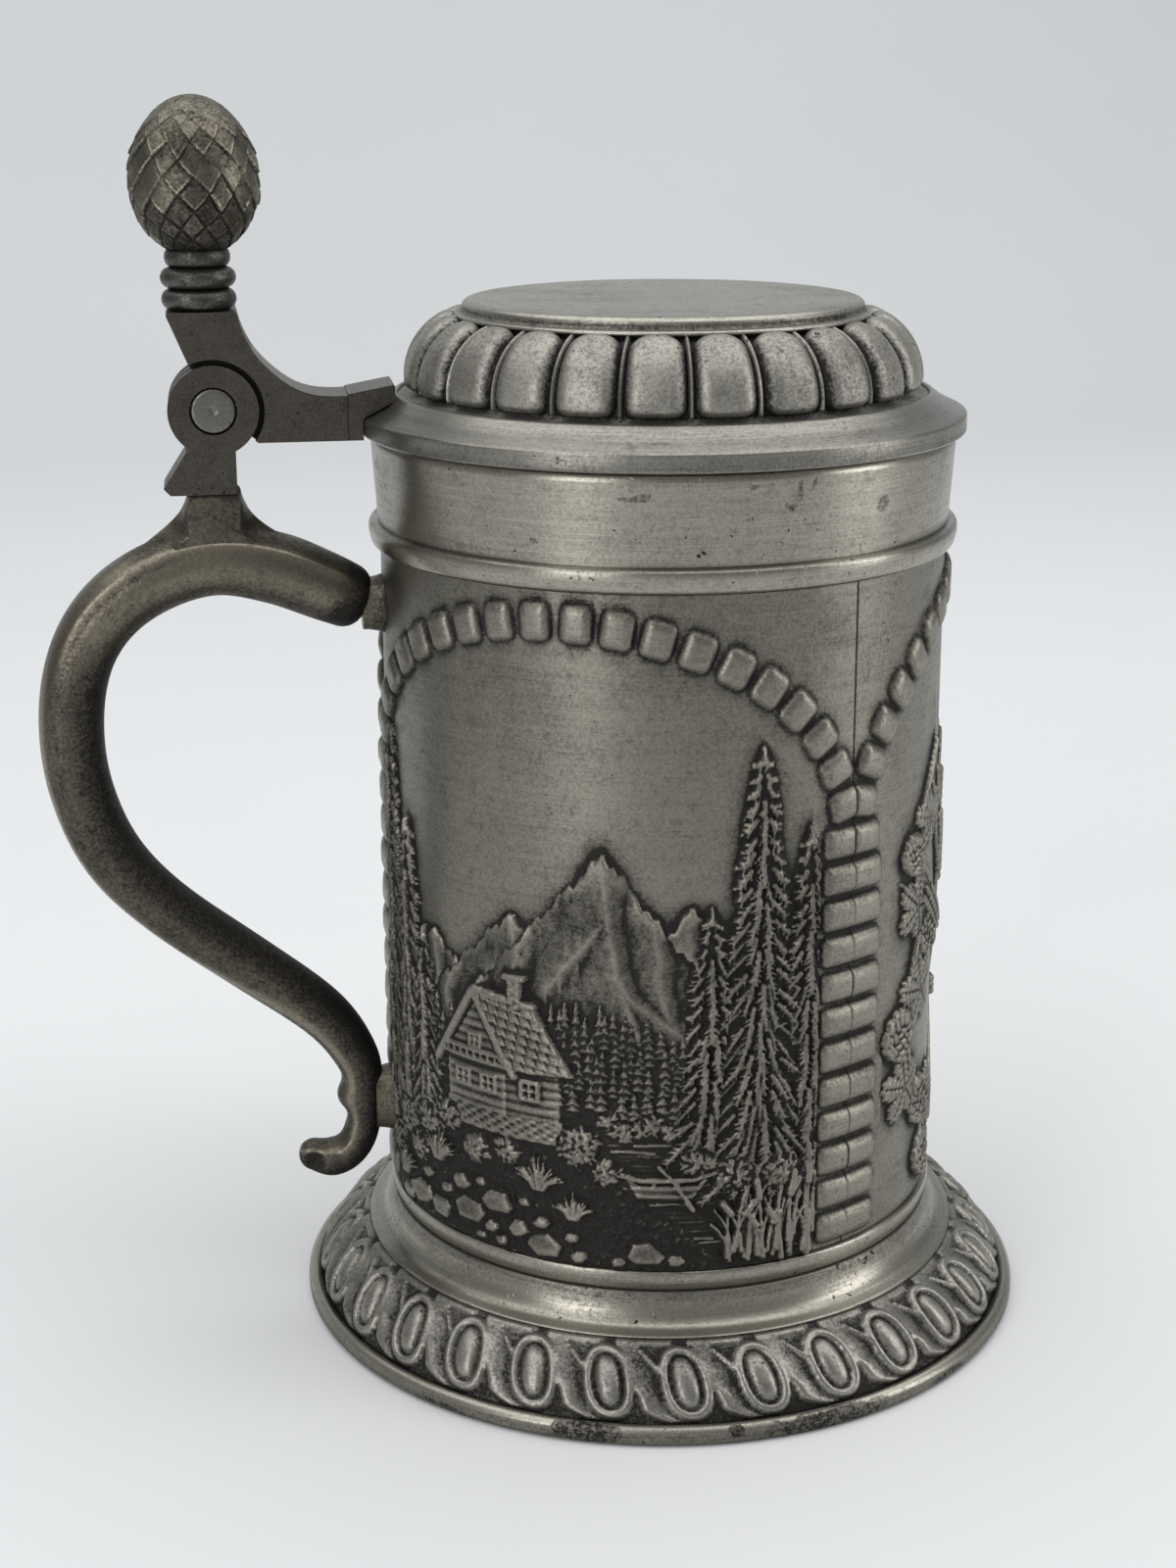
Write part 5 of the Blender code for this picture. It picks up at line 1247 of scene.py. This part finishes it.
def block_piece():
    """The hinge block: three knuckles over a foot whose spur stops the opened lid."""
    outline = [(65.9, 135.85), (75.9, 135.85), (76.9, 136.9), (73.0, 142.8), (71.0, 147.0), (66.5, 147.0),
               (65.9, 142.3)]
    return darken_cuts(knuckled(prism(outline, HINGE_HALF - 0.45), 1), PIN_RADIUS + 0.2)


def pin_piece():
    """The hinge pin, with dimpled, rounded ends."""
    ends = eased([(0.0, 5.05, 0), (0.35, 5.1, 0.2), (0.6, 5.28, 0.2), (3.1, 5.28, 0.3),
                  (PIN_RADIUS, 4.9, 0.2), (PIN_RADIUS, 0.0, 0)], 4)
    profile = ends + [(r, -y) for r, y in ends[-2::-1]]
    bm = turned(profile, steps=HINGE_SIDES)
    place = Matrix.Translation((-HINGE_REACH, 0.0, HINGE_Z)) @ Matrix.Rotation(math.radians(90), 4, "X")
    bmesh.ops.transform(bm, matrix=place, verts=bm.verts[:])
    return bm


def soften(obj, width):
    """Round the sharp edges of a finished piece."""
    bevel = obj.modifiers.new("rounded edges", "BEVEL")
    bevel.width = width * MM
    bevel.segments = 3
    bevel.limit_method = "ANGLE"
    bevel.angle_limit = math.radians(32)
    bevel.harden_normals = True


def node(tree, kind, inputs=None, **settings):
    """Place a shader node; inputs are values, or sockets to link."""
    made = tree.nodes.new(kind)
    for name, value in settings.items():
        setattr(made, name, value)
    for key, value in (inputs or {}).items():
        if isinstance(value, bpy.types.NodeSocket):
            tree.links.new(value, made.inputs[key])
        else:
            made.inputs[key].default_value = value
    return made


def calc(tree, operation, first, second=0.0, third=0.0, clamp=False):
    """Work out one step with numbers or sockets."""
    made = node(tree, "ShaderNodeMath", {0: first, 1: second, 2: third}, operation=operation, use_clamp=clamp)
    return made.outputs[0]


def vector_calc(tree, operation, first, second=(0.0, 0.0, 0.0), output=0):
    """Work out one step with vectors."""
    return node(tree, "ShaderNodeVectorMath", {0: first, 1: second}, operation=operation).outputs[output]


def from_axis(tree):
    """Each point's place, measured from the stein's axis."""
    place = node(tree, "ShaderNodeTexCoord").outputs["Object"]
    return vector_calc(tree, "SUBTRACT", place, (AXIS_X * MM, 0, 0))


def stored_value(tree, name):
    """A value stored on the points of a piece."""
    return node(tree, "ShaderNodeAttribute", attribute_name=name).outputs["Fac"]


def times(tree, first, second):
    return calc(tree, "MULTIPLY", first, second)


def plus(tree, first, second):
    return calc(tree, "ADD", first, second)


def blend(tree, share, first, second):
    """Mix two colours."""
    made = node(tree, "ShaderNodeMix", {0: share, 6: first, 7: second}, data_type="RGBA")
    return made.outputs[2]


def spread(tree, value, low, high, to_low=0.0, to_high=1.0):
    """Map a value from one range to another with soft ends."""
    made = node(tree, "ShaderNodeMapRange", {0: value, 1: low, 2: high, 3: to_low, 4: to_high},
                interpolation_type="SMOOTHSTEP")
    return made.outputs[0]


def noise(tree, place, scale, detail=2.0, roughness=0.5):
    """Cloudy values about 0.5."""
    inputs = {"Vector": place, "Scale": scale, "Detail": detail, "Roughness": roughness}
    return node(tree, "ShaderNodeTexNoise", inputs).outputs[0]


def new_group(name, inputs, outputs):
    """A shader node group with float inputs and outputs; returns it, its inputs by name and its output node."""
    tree = bpy.data.node_groups.new(name, "ShaderNodeTree")
    for label, value in inputs.items():
        tree.interface.new_socket(label, in_out="INPUT", socket_type="NodeSocketFloat").default_value = value
    for label in outputs:
        tree.interface.new_socket(label, in_out="OUTPUT", socket_type="NodeSocketFloat")
    entry = tree.nodes.new("NodeGroupInput")
    leave = tree.nodes.new("NodeGroupOutput")
    return tree, entry.outputs, leave


def brushing_group():
    """Fine lines round the stein's axis, as turning and polishing leave them."""
    if "Brushing" in bpy.data.node_groups:
        return bpy.data.node_groups["Brushing"]
    tree, _, leave = new_group("Brushing", {}, ("Lines", "Bands"))
    parts = node(tree, "ShaderNodeSeparateXYZ", {0: from_axis(tree)}).outputs
    flat = node(tree, "ShaderNodeCombineXYZ", {0: parts[0], 1: parts[1]}).outputs[0]
    away = calc(tree, "MAXIMUM", vector_calc(tree, "LENGTH", flat, output=1), 0.0005)
    height = calc(tree, "MULTIPLY_ADD", away, 1.3, parts[2])
    for label, around, up in (("Lines", 3.0, 8200.0), ("Bands", 1.5, 900.0)):
        vector = node(tree, "ShaderNodeCombineXYZ", {
            0: times(tree, calc(tree, "DIVIDE", parts[0], away), around),
            1: times(tree, calc(tree, "DIVIDE", parts[1], away), around),
            2: times(tree, height, up)}).outputs[0]
        tree.links.new(noise(tree, vector, 1.0, 3.0, 0.6), leave.inputs[label])
    return tree


def tarnish_and_shade_group():
    """Dark film: the tone stored on a piece below nought, which is tarnish in its hollows and painted shade, in soft
    blotches, and in small pits; and the stored tone above nought, which is wear and painted highlights.
    """
    if "Tarnish" in bpy.data.node_groups:
        return bpy.data.node_groups["Tarnish"]
    tree, given, leave = new_group("Tarnish", {"Hollows": 1.0, "Blotches": 0.3, "Pits": 0.3},
                                   ("Film", "Pit", "Worn"))
    place = node(tree, "ShaderNodeTexCoord").outputs["Object"]
    stored = stored_value(tree, "hollow")
    # Stored tone below nought darkens: tarnish in hollows and painted shade. Above nought it lightens: wear and
    # painted highlights.
    patina_and_shade = times(tree, calc(tree, "MAXIMUM", times(tree, stored, -1.0), 0.0), given["Hollows"])
    wear_and_sheen = calc(tree, "MAXIMUM", stored, 0.0)
    cloud = spread(tree, noise(tree, place, 55.0, 5.0, 0.62), 0.42, 0.72)
    speckle = spread(tree, noise(tree, place, 520.0, 3.0, 0.65), 0.5, 0.75)
    soft = times(tree, plus(tree, times(tree, cloud, 0.6), times(tree, speckle, 0.5)), given["Blotches"])
    pit = spread(tree, noise(tree, place, 950.0, 2.0, 0.5), 0.66, 0.74)
    pit = times(tree, times(tree, pit, spread(tree, noise(tree, place, 120.0), 0.42, 0.7)), given["Pits"])
    dent = spread(tree, noise(tree, place, 210.0, 4.0, 0.7), 0.68, 0.76)
    pit = calc(tree, "MAXIMUM", pit, times(tree, dent, given["Pits"]))
    film_and_shade = plus(tree, plus(tree, patina_and_shade, soft), calc(tree, "MULTIPLY_ADD", stored_value(tree, "rough"), 0.6, pit))
    film_and_shade = calc(tree, "SUBTRACT", film_and_shade, times(tree, wear_and_sheen, 0.3), clamp=True)
    stain = stored_value(tree, "stain")
    crust = spread(tree, plus(tree, stain, noise(tree, place, 420.0, 3.0, 0.6)), 1.0, 1.08)
    crust = times(tree, crust, spread(tree, noise(tree, place, 1500.0, 2.0, 0.6), 0.35, 0.65, 0.95, 0.55))
    crust = times(tree, crust, spread(tree, stain, 0.3, 1.0, 0.35, 1.0))
    film_and_shade = calc(tree, "MAXIMUM", film_and_shade, crust)
    for label, socket in (("Film", film_and_shade), ("Pit", pit), ("Worn", wear_and_sheen)):
        tree.links.new(socket, leave.inputs[label])
    return tree


def grain_group():
    """Height of a cast metal skin: fine grain everywhere, coarser where a piece stores a rough texture."""
    if "Cast grain" in bpy.data.node_groups:
        return bpy.data.node_groups["Cast grain"]
    tree, given, leave = new_group("Cast grain", {"Fine": 0.3, "Coarse": 1.0}, ("Height", "Speckle"))
    place = node(tree, "ShaderNodeTexCoord").outputs["Object"]
    fine = times(tree, noise(tree, place, 2600.0, 3.0, 0.6), given["Fine"])
    coarse = times(tree, stored_value(tree, "rough"), given["Coarse"])
    coarse = times(tree, noise(tree, place, 1300.0, 3.0, 0.6), coarse)
    tree.links.new(plus(tree, fine, coarse), leave.inputs["Height"])
    tree.links.new(noise(tree, place, 2100.0, 4.0, 0.7), leave.inputs["Speckle"])
    return tree


# The finishes: each one's share of its base colour, and what else pewter() takes. The shares make lighter and darker
# copies of one pewter part by part: partly real differences in tarnish, partly painted light set to how bright each
# part looks under these lamps.
SKINS = {
    "Turned pewter": {"share": (1.0, 0.985, 0.945), "lines": 0.12, "blotches": 0.3, "pits": 0.9, "fine": 0.2,
                      "gloss": 0.3, "drawn": 0.6},
    "Relief pewter": {"share": (0.67, 0.66, 0.625), "lines": 0.1, "hollow": 1.15, "blotches": 0.4, "pits": 0.5,
                      "fine": 0.35, "coarse": 1.0, "gloss": 0.4, "drawn": 0.45, "speck": 0.2},
    "Foot pewter": {"share": (0.9, 0.9, 0.9), "lines": 0.1, "hollow": 0.8, "blotches": 0.55, "pits": 0.9,
                    "fine": 0.4, "gloss": 0.38, "speck": 0.22},
    "Handle pewter": {"base": "old_handle", "hollow": 0.9, "blotches": 0.6, "pits": 1.0, "fine": 0.5, "gloss": 0.34,
                      "speck": 0.28, "polish_and_sheen": 1.6},
    "Hinge pewter": {"share": (0.28, 0.265, 0.26), "blotches": 0.6, "pits": 0.9, "fine": 0.6, "gloss": 0.38,
                     "speck": 0.3, "polish_and_sheen": 1.9},
    "Pin pewter": {"share": (0.6, 0.6, 0.6), "hollow": 0.8, "blotches": 0.3, "pits": 0.5, "fine": 0.3, "gloss": 0.34},
    "Lid pewter": {"share": (1.04, 1.04, 1.04), "lines": 0.06, "hollow": 0.9, "blotches": 0.6, "pits": 0.8,
                   "fine": 0.5, "gloss": 0.47, "speck": 0.26},
    "Disc pewter": {"share": (1.2, 1.2, 1.18), "lines": 0.1, "blotches": 0.4, "pits": 0.6, "fine": 0.25,
                    "gloss": 0.34},
    "Flange pewter": {"share": (0.8, 0.8, 0.8), "lines": 0.14, "blotches": 0.4, "pits": 0.8, "fine": 0.25,
                      "gloss": 0.33, "drawn": 0.5},
    "Cone pewter": {"share": (0.43, 0.41, 0.355), "hollow": 0.9, "blotches": 0.9, "pits": 0.9, "fine": 0.7,
                    "speck": 0.36, "polish_and_sheen": 2.5},
    "Collar pewter": {"share": (0.31, 0.31, 0.31), "blotches": 0.8, "pits": 0.8, "fine": 0.6, "speck": 0.36},
}


def skin(name):
    """A new finish of this name, in the colours that are set now."""
    return pewter(name, **SKINS[name])


def turned_skin():
    """The brushed finish that all turned parts share."""
    return bpy.data.materials.get("Turned pewter") or skin("Turned pewter")


def pewter(name, blotches, pits, fine, base="bright", share=(1.0, 1.0, 1.0), lines=0.0, hollow=1.0, coarse=0.0,
           gloss=0.36, drawn=0.0, speck=0.17, polish_and_sheen=1.18):
    """A pewter finish: bare metal under tarnish and painted shade, lightened toward a brighter sheen where wear and
    painted highlights are stored, with brushed lines, cast grain and pits.
    """
    finish_set = scene_settings()[1]
    bright = [c * v for c, v in zip(getattr(finish_set, base), share)]
    material = bpy.data.materials.new(name)
    material.use_nodes = True
    tree = material.node_tree
    shader = tree.nodes["Principled BSDF"]
    brush = node(tree, "ShaderNodeGroup", node_tree=brushing_group())
    film_and_shade = node(tree, "ShaderNodeGroup", node_tree=tarnish_and_shade_group())
    for label, value in (("Hollows", hollow), ("Blotches", blotches), ("Pits", pits)):
        film_and_shade.inputs[label].default_value = value
    grain = node(tree, "ShaderNodeGroup", node_tree=grain_group())
    grain.inputs["Fine"].default_value, grain.inputs["Coarse"].default_value = fine, coarse
    shine = (*[min(1.0, c * polish_and_sheen) for c in bright], 1.0)
    streak = spread(tree, brush.outputs["Lines"], 0.3, 0.7, -lines, lines)
    streak = plus(tree, streak, spread(tree, brush.outputs["Bands"], 0.3, 0.7, -0.5 * lines, 0.5 * lines))
    streak = plus(tree, streak, spread(tree, grain.outputs["Speckle"], 0.32, 0.68, -speck, speck))
    # Painted highlights share the brighter shine with wear, and painted shade shares the tarnish colour with real
    # tarnish.
    clean = blend(tree, film_and_shade.outputs["Worn"], (*bright, 1.0), shine)
    dull_and_shade = calc(tree, "SUBTRACT", plus(tree, film_and_shade.outputs["Film"], 0.12), streak, clamp=True)
    tree.links.new(blend(tree, dull_and_shade, clean, (*finish_set.tarnish, 1.0)), shader.inputs["Base Color"])
    tree.links.new(spread(tree, dull_and_shade, 0.0, 1.0, gloss, 0.66), shader.inputs["Roughness"])
    tree.links.new(spread(tree, dull_and_shade, 0.2, 1.0, 1.0, 0.7), shader.inputs["Metallic"])
    height = calc(tree, "MULTIPLY_ADD", brush.outputs["Lines"], 0.5 * lines, grain.outputs["Height"])
    height = calc(tree, "SUBTRACT", height, film_and_shade.outputs["Pit"])
    bump = node(tree, "ShaderNodeBump", {"Height": height, "Strength": 0.8, "Distance": finish_set.bump_depth})
    tree.links.new(bump.outputs[0], shader.inputs["Normal"])
    if drawn:
        round_axis = vector_calc(tree, "CROSS_PRODUCT", (0, 0, 1), from_axis(tree))
        tree.links.new(vector_calc(tree, "NORMALIZE", round_axis), shader.inputs["Tangent"])
        shader.inputs["Anisotropic"].default_value = drawn
        shader.inputs["Anisotropic Rotation"].default_value = 0.25
    return material


def tint(bm, levels):
    """Store the patina and painted light by height: levels lists (z, value) pairs from low to high."""
    hollow = bm.verts.layers.float.new("hollow")
    for vert in bm.verts:
        vert[hollow] = float(np.interp(vert.co.z, *zip(*levels)))
    return bm


class STEIN_OT_wall_panels(bpy.types.Operator):
    """Build the three relief panels of the drum"""
    bl_idname = "stein.wall_panels"
    bl_label = "Wall panels"

    def execute(self, context):
        sizes = scene_settings()[0]
        cast, middle = skin("Relief pewter"), PANEL_COLUMNS // 2
        for name, (centre, picture, bare_side) in PICTURES.items():
            relief, tone = panel_relief(picture, bare_side, sizes.block_proud / MM, sizes.relief_scale)
            for half, first, last in (("near", 0, middle), ("far", middle, PANEL_COLUMNS)):
                bm = wall_panel(centre, relief, tone, first, last)
                finish(f"{name}_{half}", bm, "mug", (name,), cast, weld=WELD / 2)
        return {"FINISHED"}


class STEIN_OT_turned_rings(bpy.types.Operator):
    """Build the mouth band, the two beads and the cup's floor"""
    bl_idname = "stein.turned_rings"
    bl_label = "Turned rings"

    def execute(self, context):
        brushed = turned_skin()
        rings = {
            "lip_band": [(44.5 + 0.033 * n, 130.4 + 0.5 * n, 0) for n in range(26)] + [
                (44.9, 143.55, 0.2), (44.0, 143.65, 0.2), (42.3, 143.65, 0.6), (41.3, 142.9, 0.6), (41.3, 123.4, 0),
                (42.3, 123.4, 0), (42.3, 130.4, 0)],
            "bottom_disc": [(0.0, 16.7, 0), (41.0, 16.7, 0.4), (41.0, 14.5, 0.4), (0.0, 14.5, 0)],
        }
        for name, profile in rings.items():
            # Painted light: the top of the mouth band, just under the lid's overhanging flange, is stored lighter to
            # lift the shadow there; the floor disc lies too low to be touched by it.
            ring = tint(turned(eased(profile), steps=480), ((142.4, 0.0), (143.3, 0.9)))
            stained(ring, BAND_STAINS, 0.62)
            finish(name + "_turned", ring, "mug", (name,), brushed, sharp=40)
        for name, low, high, crown in (("neck_bead", 126.5, 130.35, 46.0), ("base_bead", 18.1, 21.5, 45.1)):
            profile = eased([(42.65, low, 0), (42.65, high, 0), (44.4, high, 0.2), (crown - 0.1, high - 0.1, 0.9),
                             (crown, high - 1.6, 0.6), (crown - 0.5, low + 0.4, 0.5), (44.2, low, 0)])
            finish(name + "_turned", turned(profile), "mug", (name,), brushed, sharp=50)
        return {"FINISHED"}


class STEIN_OT_foot(bpy.types.Operator):
    """Build the flared foot with its border of eggs and twists"""
    bl_idname = "stein.foot"
    bl_label = "Foot"

    def execute(self, context):
        border = foot_piece(scene_settings()[0])
        finish("foot_border", border, "mug", ("foot",), skin("Foot pewter"), sharp=60)
        # The rim is stored darker on its side and lighter along its top edge.
        rim = tint(rim_piece(), ((0.0, -0.5), (2.1, -0.35), (2.9, 0.4), (3.2, 0.5)))
        finish("foot_rim", rim, "mug", ("foot",), turned_skin(), sharp=60)
        profile = eased([(48.8, 12.2, 0), (48.95, 12.55, 0.12), (48.6, 12.72, 0.15), (46.6, 13.2, 1.2),
                         (45.3, 15.2, 2.0), (44.75, 18.0, 0.2), (42.3, 18.0, 0), (42.3, 25.0, 0), (41.3, 25.0, 0),
                         (41.3, 14.2, 0), (38.5, 14.2, 0), (38.5, 12.0, 0), (48.0, 8.5, 0)])
        # Painted light on the cove: the ledge at its foot and its lower part lighter as a highlight, its upper part
        # under the base bead darker as shade.
        cove = tint(turned(profile), ((12.3, 0.35), (12.9, 0.3), (13.6, 0.3), (15.0, 0.1), (17.2, -0.3)))
        finish("foot_cove", cove, "mug", ("foot",), turned_skin(), sharp=40)
        return {"FINISHED"}


class STEIN_OT_handle(bpy.types.Operator):
    """Build the scroll handle and its two solder lugs"""
    bl_idname = "stein.handle"
    bl_label = "Handle"

    def execute(self, context):
        wear_and_sheen = skin("Handle pewter")
        finish("handle_scroll", handle_bar(), "mug", ("handle",), wear_and_sheen)
        finish("handle_neck", neck_piece(), "mug", ("handle",), wear_and_sheen, sharp=50)
        for name, *size in (("handle_upper_lug", 113.4, 121.3, 47.4), ("handle_lower_lug", 29.2, 39.2, 47.6)):
            finish(name + "_stub", lug(*size), "mug", (name,), wear_and_sheen, sharp=50)
        return {"FINISHED"}


class STEIN_OT_hinge(bpy.types.Operator):
    """Build the hinge block, its pin and the lid arm"""
    bl_idname = "stein.hinge"
    bl_label = "Hinge"

    def execute(self, context):
        dark, pin = skin("Hinge pewter"), skin("Pin pewter")
        block = finish("hinge_block_knuckles", block_piece(), "mug", ("hinge_block",), dark, sharp=32)
        soften(block, 0.22)
        finish("hinge_pin_turned", pin_piece(), "mug", ("hinge_pin",), pin, sharp=50)
        arm = finish("lid_arm_knuckles", arm_piece(), "lid", ("lid_arm",), dark, sharp=32)
        soften(arm, 0.3)
        return {"FINISHED"}


class STEIN_OT_lid(bpy.types.Operator):
    """Build the gadrooned lid and the plain disc on it"""
    bl_idname = "stein.lid"
    bl_label = "Lid"

    def execute(self, context):
        dome = lid_piece(scene_settings()[0])
        finish("lid_gadroons", dome, "lid", ("lid_shell",), skin("Lid pewter"), sharp=60)
        profile = eased([(39.55, 147.45, 0), (41.0, 145.6, 0.8), (41.0, 143.95, 0), (46.55, 143.95, 0.2),
                         (46.85, 144.25, 0.2), (46.85, 146.6, 0.12), (46.65, 146.85, 0.12), (43.75, 148.2, 0.9),
                         (41.6, 149.85, 0.3), (41.15, 149.95, 0.15), (41.0, 149.7, 0), (41.0, 149.45, 0),
                         (41.8, 149.2, 0), (41.8, 147.45, 0)])
        # Painted light on the flange: its bottom edge stored light to lift the shadow under it, its upright side
        # darker against its reflections, and painted highlights along its outer top edge and along the slope just
        # below the lobes.
        flange = tint(turned(profile), ((143.95, 0.8), (144.3, -0.2), (146.3, -0.25), (146.7, 0.5), (147.2, 0.1),
                                        (148.3, 0.1), (149.0, 1.0), (149.9, 0.8)))
        finish("lid_flange", flange, "lid", ("lid_shell",), skin("Flange pewter"), sharp=30)
        profile = eased([(0.0, 163.75, 0), (29.8, 163.75, 0.5), (30.6, 163.4, 0.4), (30.9, 162.85, 0.3),
                         (30.8, 162.4, 0.2), (31.1, 161.95, 0.35), (31.8, 161.85, 0.2), (32.05, 161.5, 0.2),
                         (31.85, 161.15, 0.2), (30.55, 161.1, 0), (30.55, 162.2, 0), (0.0, 162.2, 0)])
        # Painted light on the disc's edge: painted highlights along its rounded top edge and on the thin lip below,
        # painted shade on its upright side and in the gap under the lip.
        plate = tint(turned(profile), ((161.1, -0.7), (161.35, 0.0), (161.75, 0.15), (162.0, -0.5), (162.5, -0.55),
                                       (162.9, -0.3), (163.3, 0.25), (163.6, 0.1), (163.75, 0.0)))
        finish("lid_disc", plate, "lid", ("lid_plate",), skin("Disc pewter"), sharp=40)
        return {"FINISHED"}


class STEIN_OT_thumblift(bpy.types.Operator):
    """Build the pine cone thumb piece and its ringed collar"""
    bl_idname = "stein.thumblift"
    bl_label = "Thumb piece"

    def execute(self, context):
        swell = 1.55
        profile = [(0.0, 163.1)]
        for low, high, radius, power in ((163.1, 166.3, 5.6, 1.0), (166.3, 169.4, 5.65, 1.0),
                                         (169.4, 172.3, 4.9, 0.55)):
            for n in range(11):
                a = math.radians(-90 + 18 * n)
                profile.append((radius - swell + swell * max(math.cos(a), 0.0) ** power,
                                (low + high) / 2 + (high - low - 0.02) / 2 * math.sin(a)))
        profile.append((0.0, 172.3))
        rings = turned(profile, -CONE_REACH, 96)
        # The grooves between the rings and the middles of the ends are stored fully dark.
        hollow = rings.verts.layers.float.new("hollow")
        for vert in rings.verts:
            vert[hollow] = -1.0 if math.hypot(vert.co.x + CONE_REACH, vert.co.y) < 4.15 else 0.0
        finish("thumblift_rings", rings, "lid", ("thumblift_collar",), skin("Collar pewter"), sharp=70)
        scales = cone_piece(scene_settings()[0])
        finish("thumblift_scales", scales, "lid", ("thumblift_cone",), skin("Cone pewter"))
        return {"FINISHED"}


class STEIN_OT_stage(bpy.types.Operator):
    """Set up the pale floor and sweep, the soft lamps and the camera"""
    bl_idname = "stein.stage"
    bl_label = "Stage"

    def execute(self, context):
        stage = scene_settings()[2]
        scene = context.scene
        bm = bmesh.new()
        near_edge, back, bend, top, half_width = -1.6, 0.9, 0.5, 1.9, 2.2
        line = [(near_edge, 0.0), (back, 0.0)]
        line += [(back + bend * math.sin(a), bend - bend * math.cos(a))
                 for a in (math.radians(6 * n) for n in range(1, 16))]
        line.append((back + bend, top))
        verts = [bm.verts.new((-half_width, y, z)) for y, z in line]
        edges = [bm.edges.new(pair) for pair in zip(verts, verts[1:])]
        grown = bmesh.ops.extrude_edge_only(bm, edges=edges)["geom"]
        bmesh.ops.translate(bm, verts=points_of(grown), vec=(2 * half_width, 0.0, 0.0))
        bmesh.ops.recalc_face_normals(bm, faces=bm.faces[:])
        mesh = bpy.data.meshes.new("sweep")
        bm.to_mesh(mesh)
        bm.free()
        mesh.shade_smooth()
        floor = bpy.data.objects.new("sweep", mesh)
        scene.collection.objects.link(floor)
        paper = bpy.data.materials.new("Pale paper")
        paper.use_nodes = True
        tree = paper.node_tree
        shader = tree.nodes["Principled BSDF"]
        place = node(tree, "ShaderNodeTexCoord").outputs["Object"]
        mottle = spread(tree, noise(tree, place, 6.0, 3.0), 0.3, 0.7)
        near = blend(tree, mottle, (*[c * 0.985 for c in stage.floor], 1.0), (*stage.floor, 1.0))
        high = spread(tree, node(tree, "ShaderNodeSeparateXYZ", {0: place}).outputs[2], 0.0, 0.6)
        far = (*[c * v for c, v in zip(stage.floor, (0.9, 0.93, 0.93))], 1.0)
        tree.links.new(blend(tree, high, near, far), shader.inputs["Base Color"])
        shader.inputs["Roughness"].default_value = 0.75
        floor.data.materials.append(paper)

        world = bpy.data.worlds.new("Room")
        world.use_nodes = True
        sky = world.node_tree.nodes["Background"].inputs
        sky["Color"].default_value, sky["Strength"].default_value = (0.96, 0.985, 1.0, 1.0), stage.room
        scene.world = world
        for name, place, aim, size, power in (
                ("top lamp", (0.0, 0.1, 1.15), (0.0, 0.1, 0.0), (2.2, 1.5), stage.top_lamp),
                ("left lamp", (-0.62, -0.72, 0.4), (0.0, 0.0, 0.1), (0.4, 0.8), stage.side_lamp),
                ("right lamp", (0.95, -0.3, 0.4), (0.0, 0.0, 0.1), (0.4, 0.8), stage.side_lamp)):
            data = bpy.data.lights.new(name, "AREA")
            data.shape = "RECTANGLE"
            data.size, data.size_y = size
            data.energy = power
            lamp = bpy.data.objects.new(name, data)
            lamp.location = place
            lamp.rotation_euler = (Vector(aim) - Vector(place)).to_track_quat("-Z", "Y").to_euler()
            scene.collection.objects.link(lamp)

        data = bpy.data.cameras.new("camera")
        data.sensor_width = 36.0
        data.lens = stage.lens
        camera = bpy.data.objects.new("camera", data)
        view = Matrix.Translation(CAMERA_PLACE)
        for axis, degrees in CAMERA_TURNS:
            view = view @ Matrix.Rotation(math.radians(degrees), 4, axis)
        camera.matrix_world = view
        scene.collection.objects.link(camera)
        scene.camera = camera
        scene.view_settings.view_transform = "Standard"
        return {"FINISHED"}


class STEIN_PT_sidebar(bpy.types.Panel):
    """Sizes, finishes and building steps of the stein"""
    bl_idname = "STEIN_PT_sidebar"
    bl_label = "Pewter stein"
    bl_space_type = "VIEW_3D"
    bl_region_type = "UI"
    bl_category = "Stein"

    def draw(self, context):
        for group in scene_settings():
            box = self.layout.box()
            for name in group.__annotations__:
                box.prop(group, name)
        for step in STEPS:
            self.layout.operator(step.bl_idname)


GROUPS = (SteinSizes, SteinFinish, SteinStage)
STEPS = (STEIN_OT_wall_panels, STEIN_OT_turned_rings, STEIN_OT_foot, STEIN_OT_handle, STEIN_OT_hinge, STEIN_OT_lid,
         STEIN_OT_thumblift, STEIN_OT_stage)


def register():
    for cls in GROUPS + STEPS + (STEIN_PT_sidebar,):
        bpy.utils.register_class(cls)
    bpy.types.Scene.stein_sizes = bpy.props.PointerProperty(type=SteinSizes)
    bpy.types.Scene.stein_finish = bpy.props.PointerProperty(type=SteinFinish)
    bpy.types.Scene.stein_stage = bpy.props.PointerProperty(type=SteinStage)


def unregister():
    del bpy.types.Scene.stein_sizes, bpy.types.Scene.stein_finish, bpy.types.Scene.stein_stage
    for cls in reversed(GROUPS + STEPS + (STEIN_PT_sidebar,)):
        bpy.utils.unregister_class(cls)


def main():
    register()
    for step in (bpy.ops.stein.wall_panels, bpy.ops.stein.turned_rings, bpy.ops.stein.foot, bpy.ops.stein.handle,
                 bpy.ops.stein.hinge, bpy.ops.stein.lid, bpy.ops.stein.thumblift, bpy.ops.stein.stage):
        step()


if __name__ == "__main__":
    main()
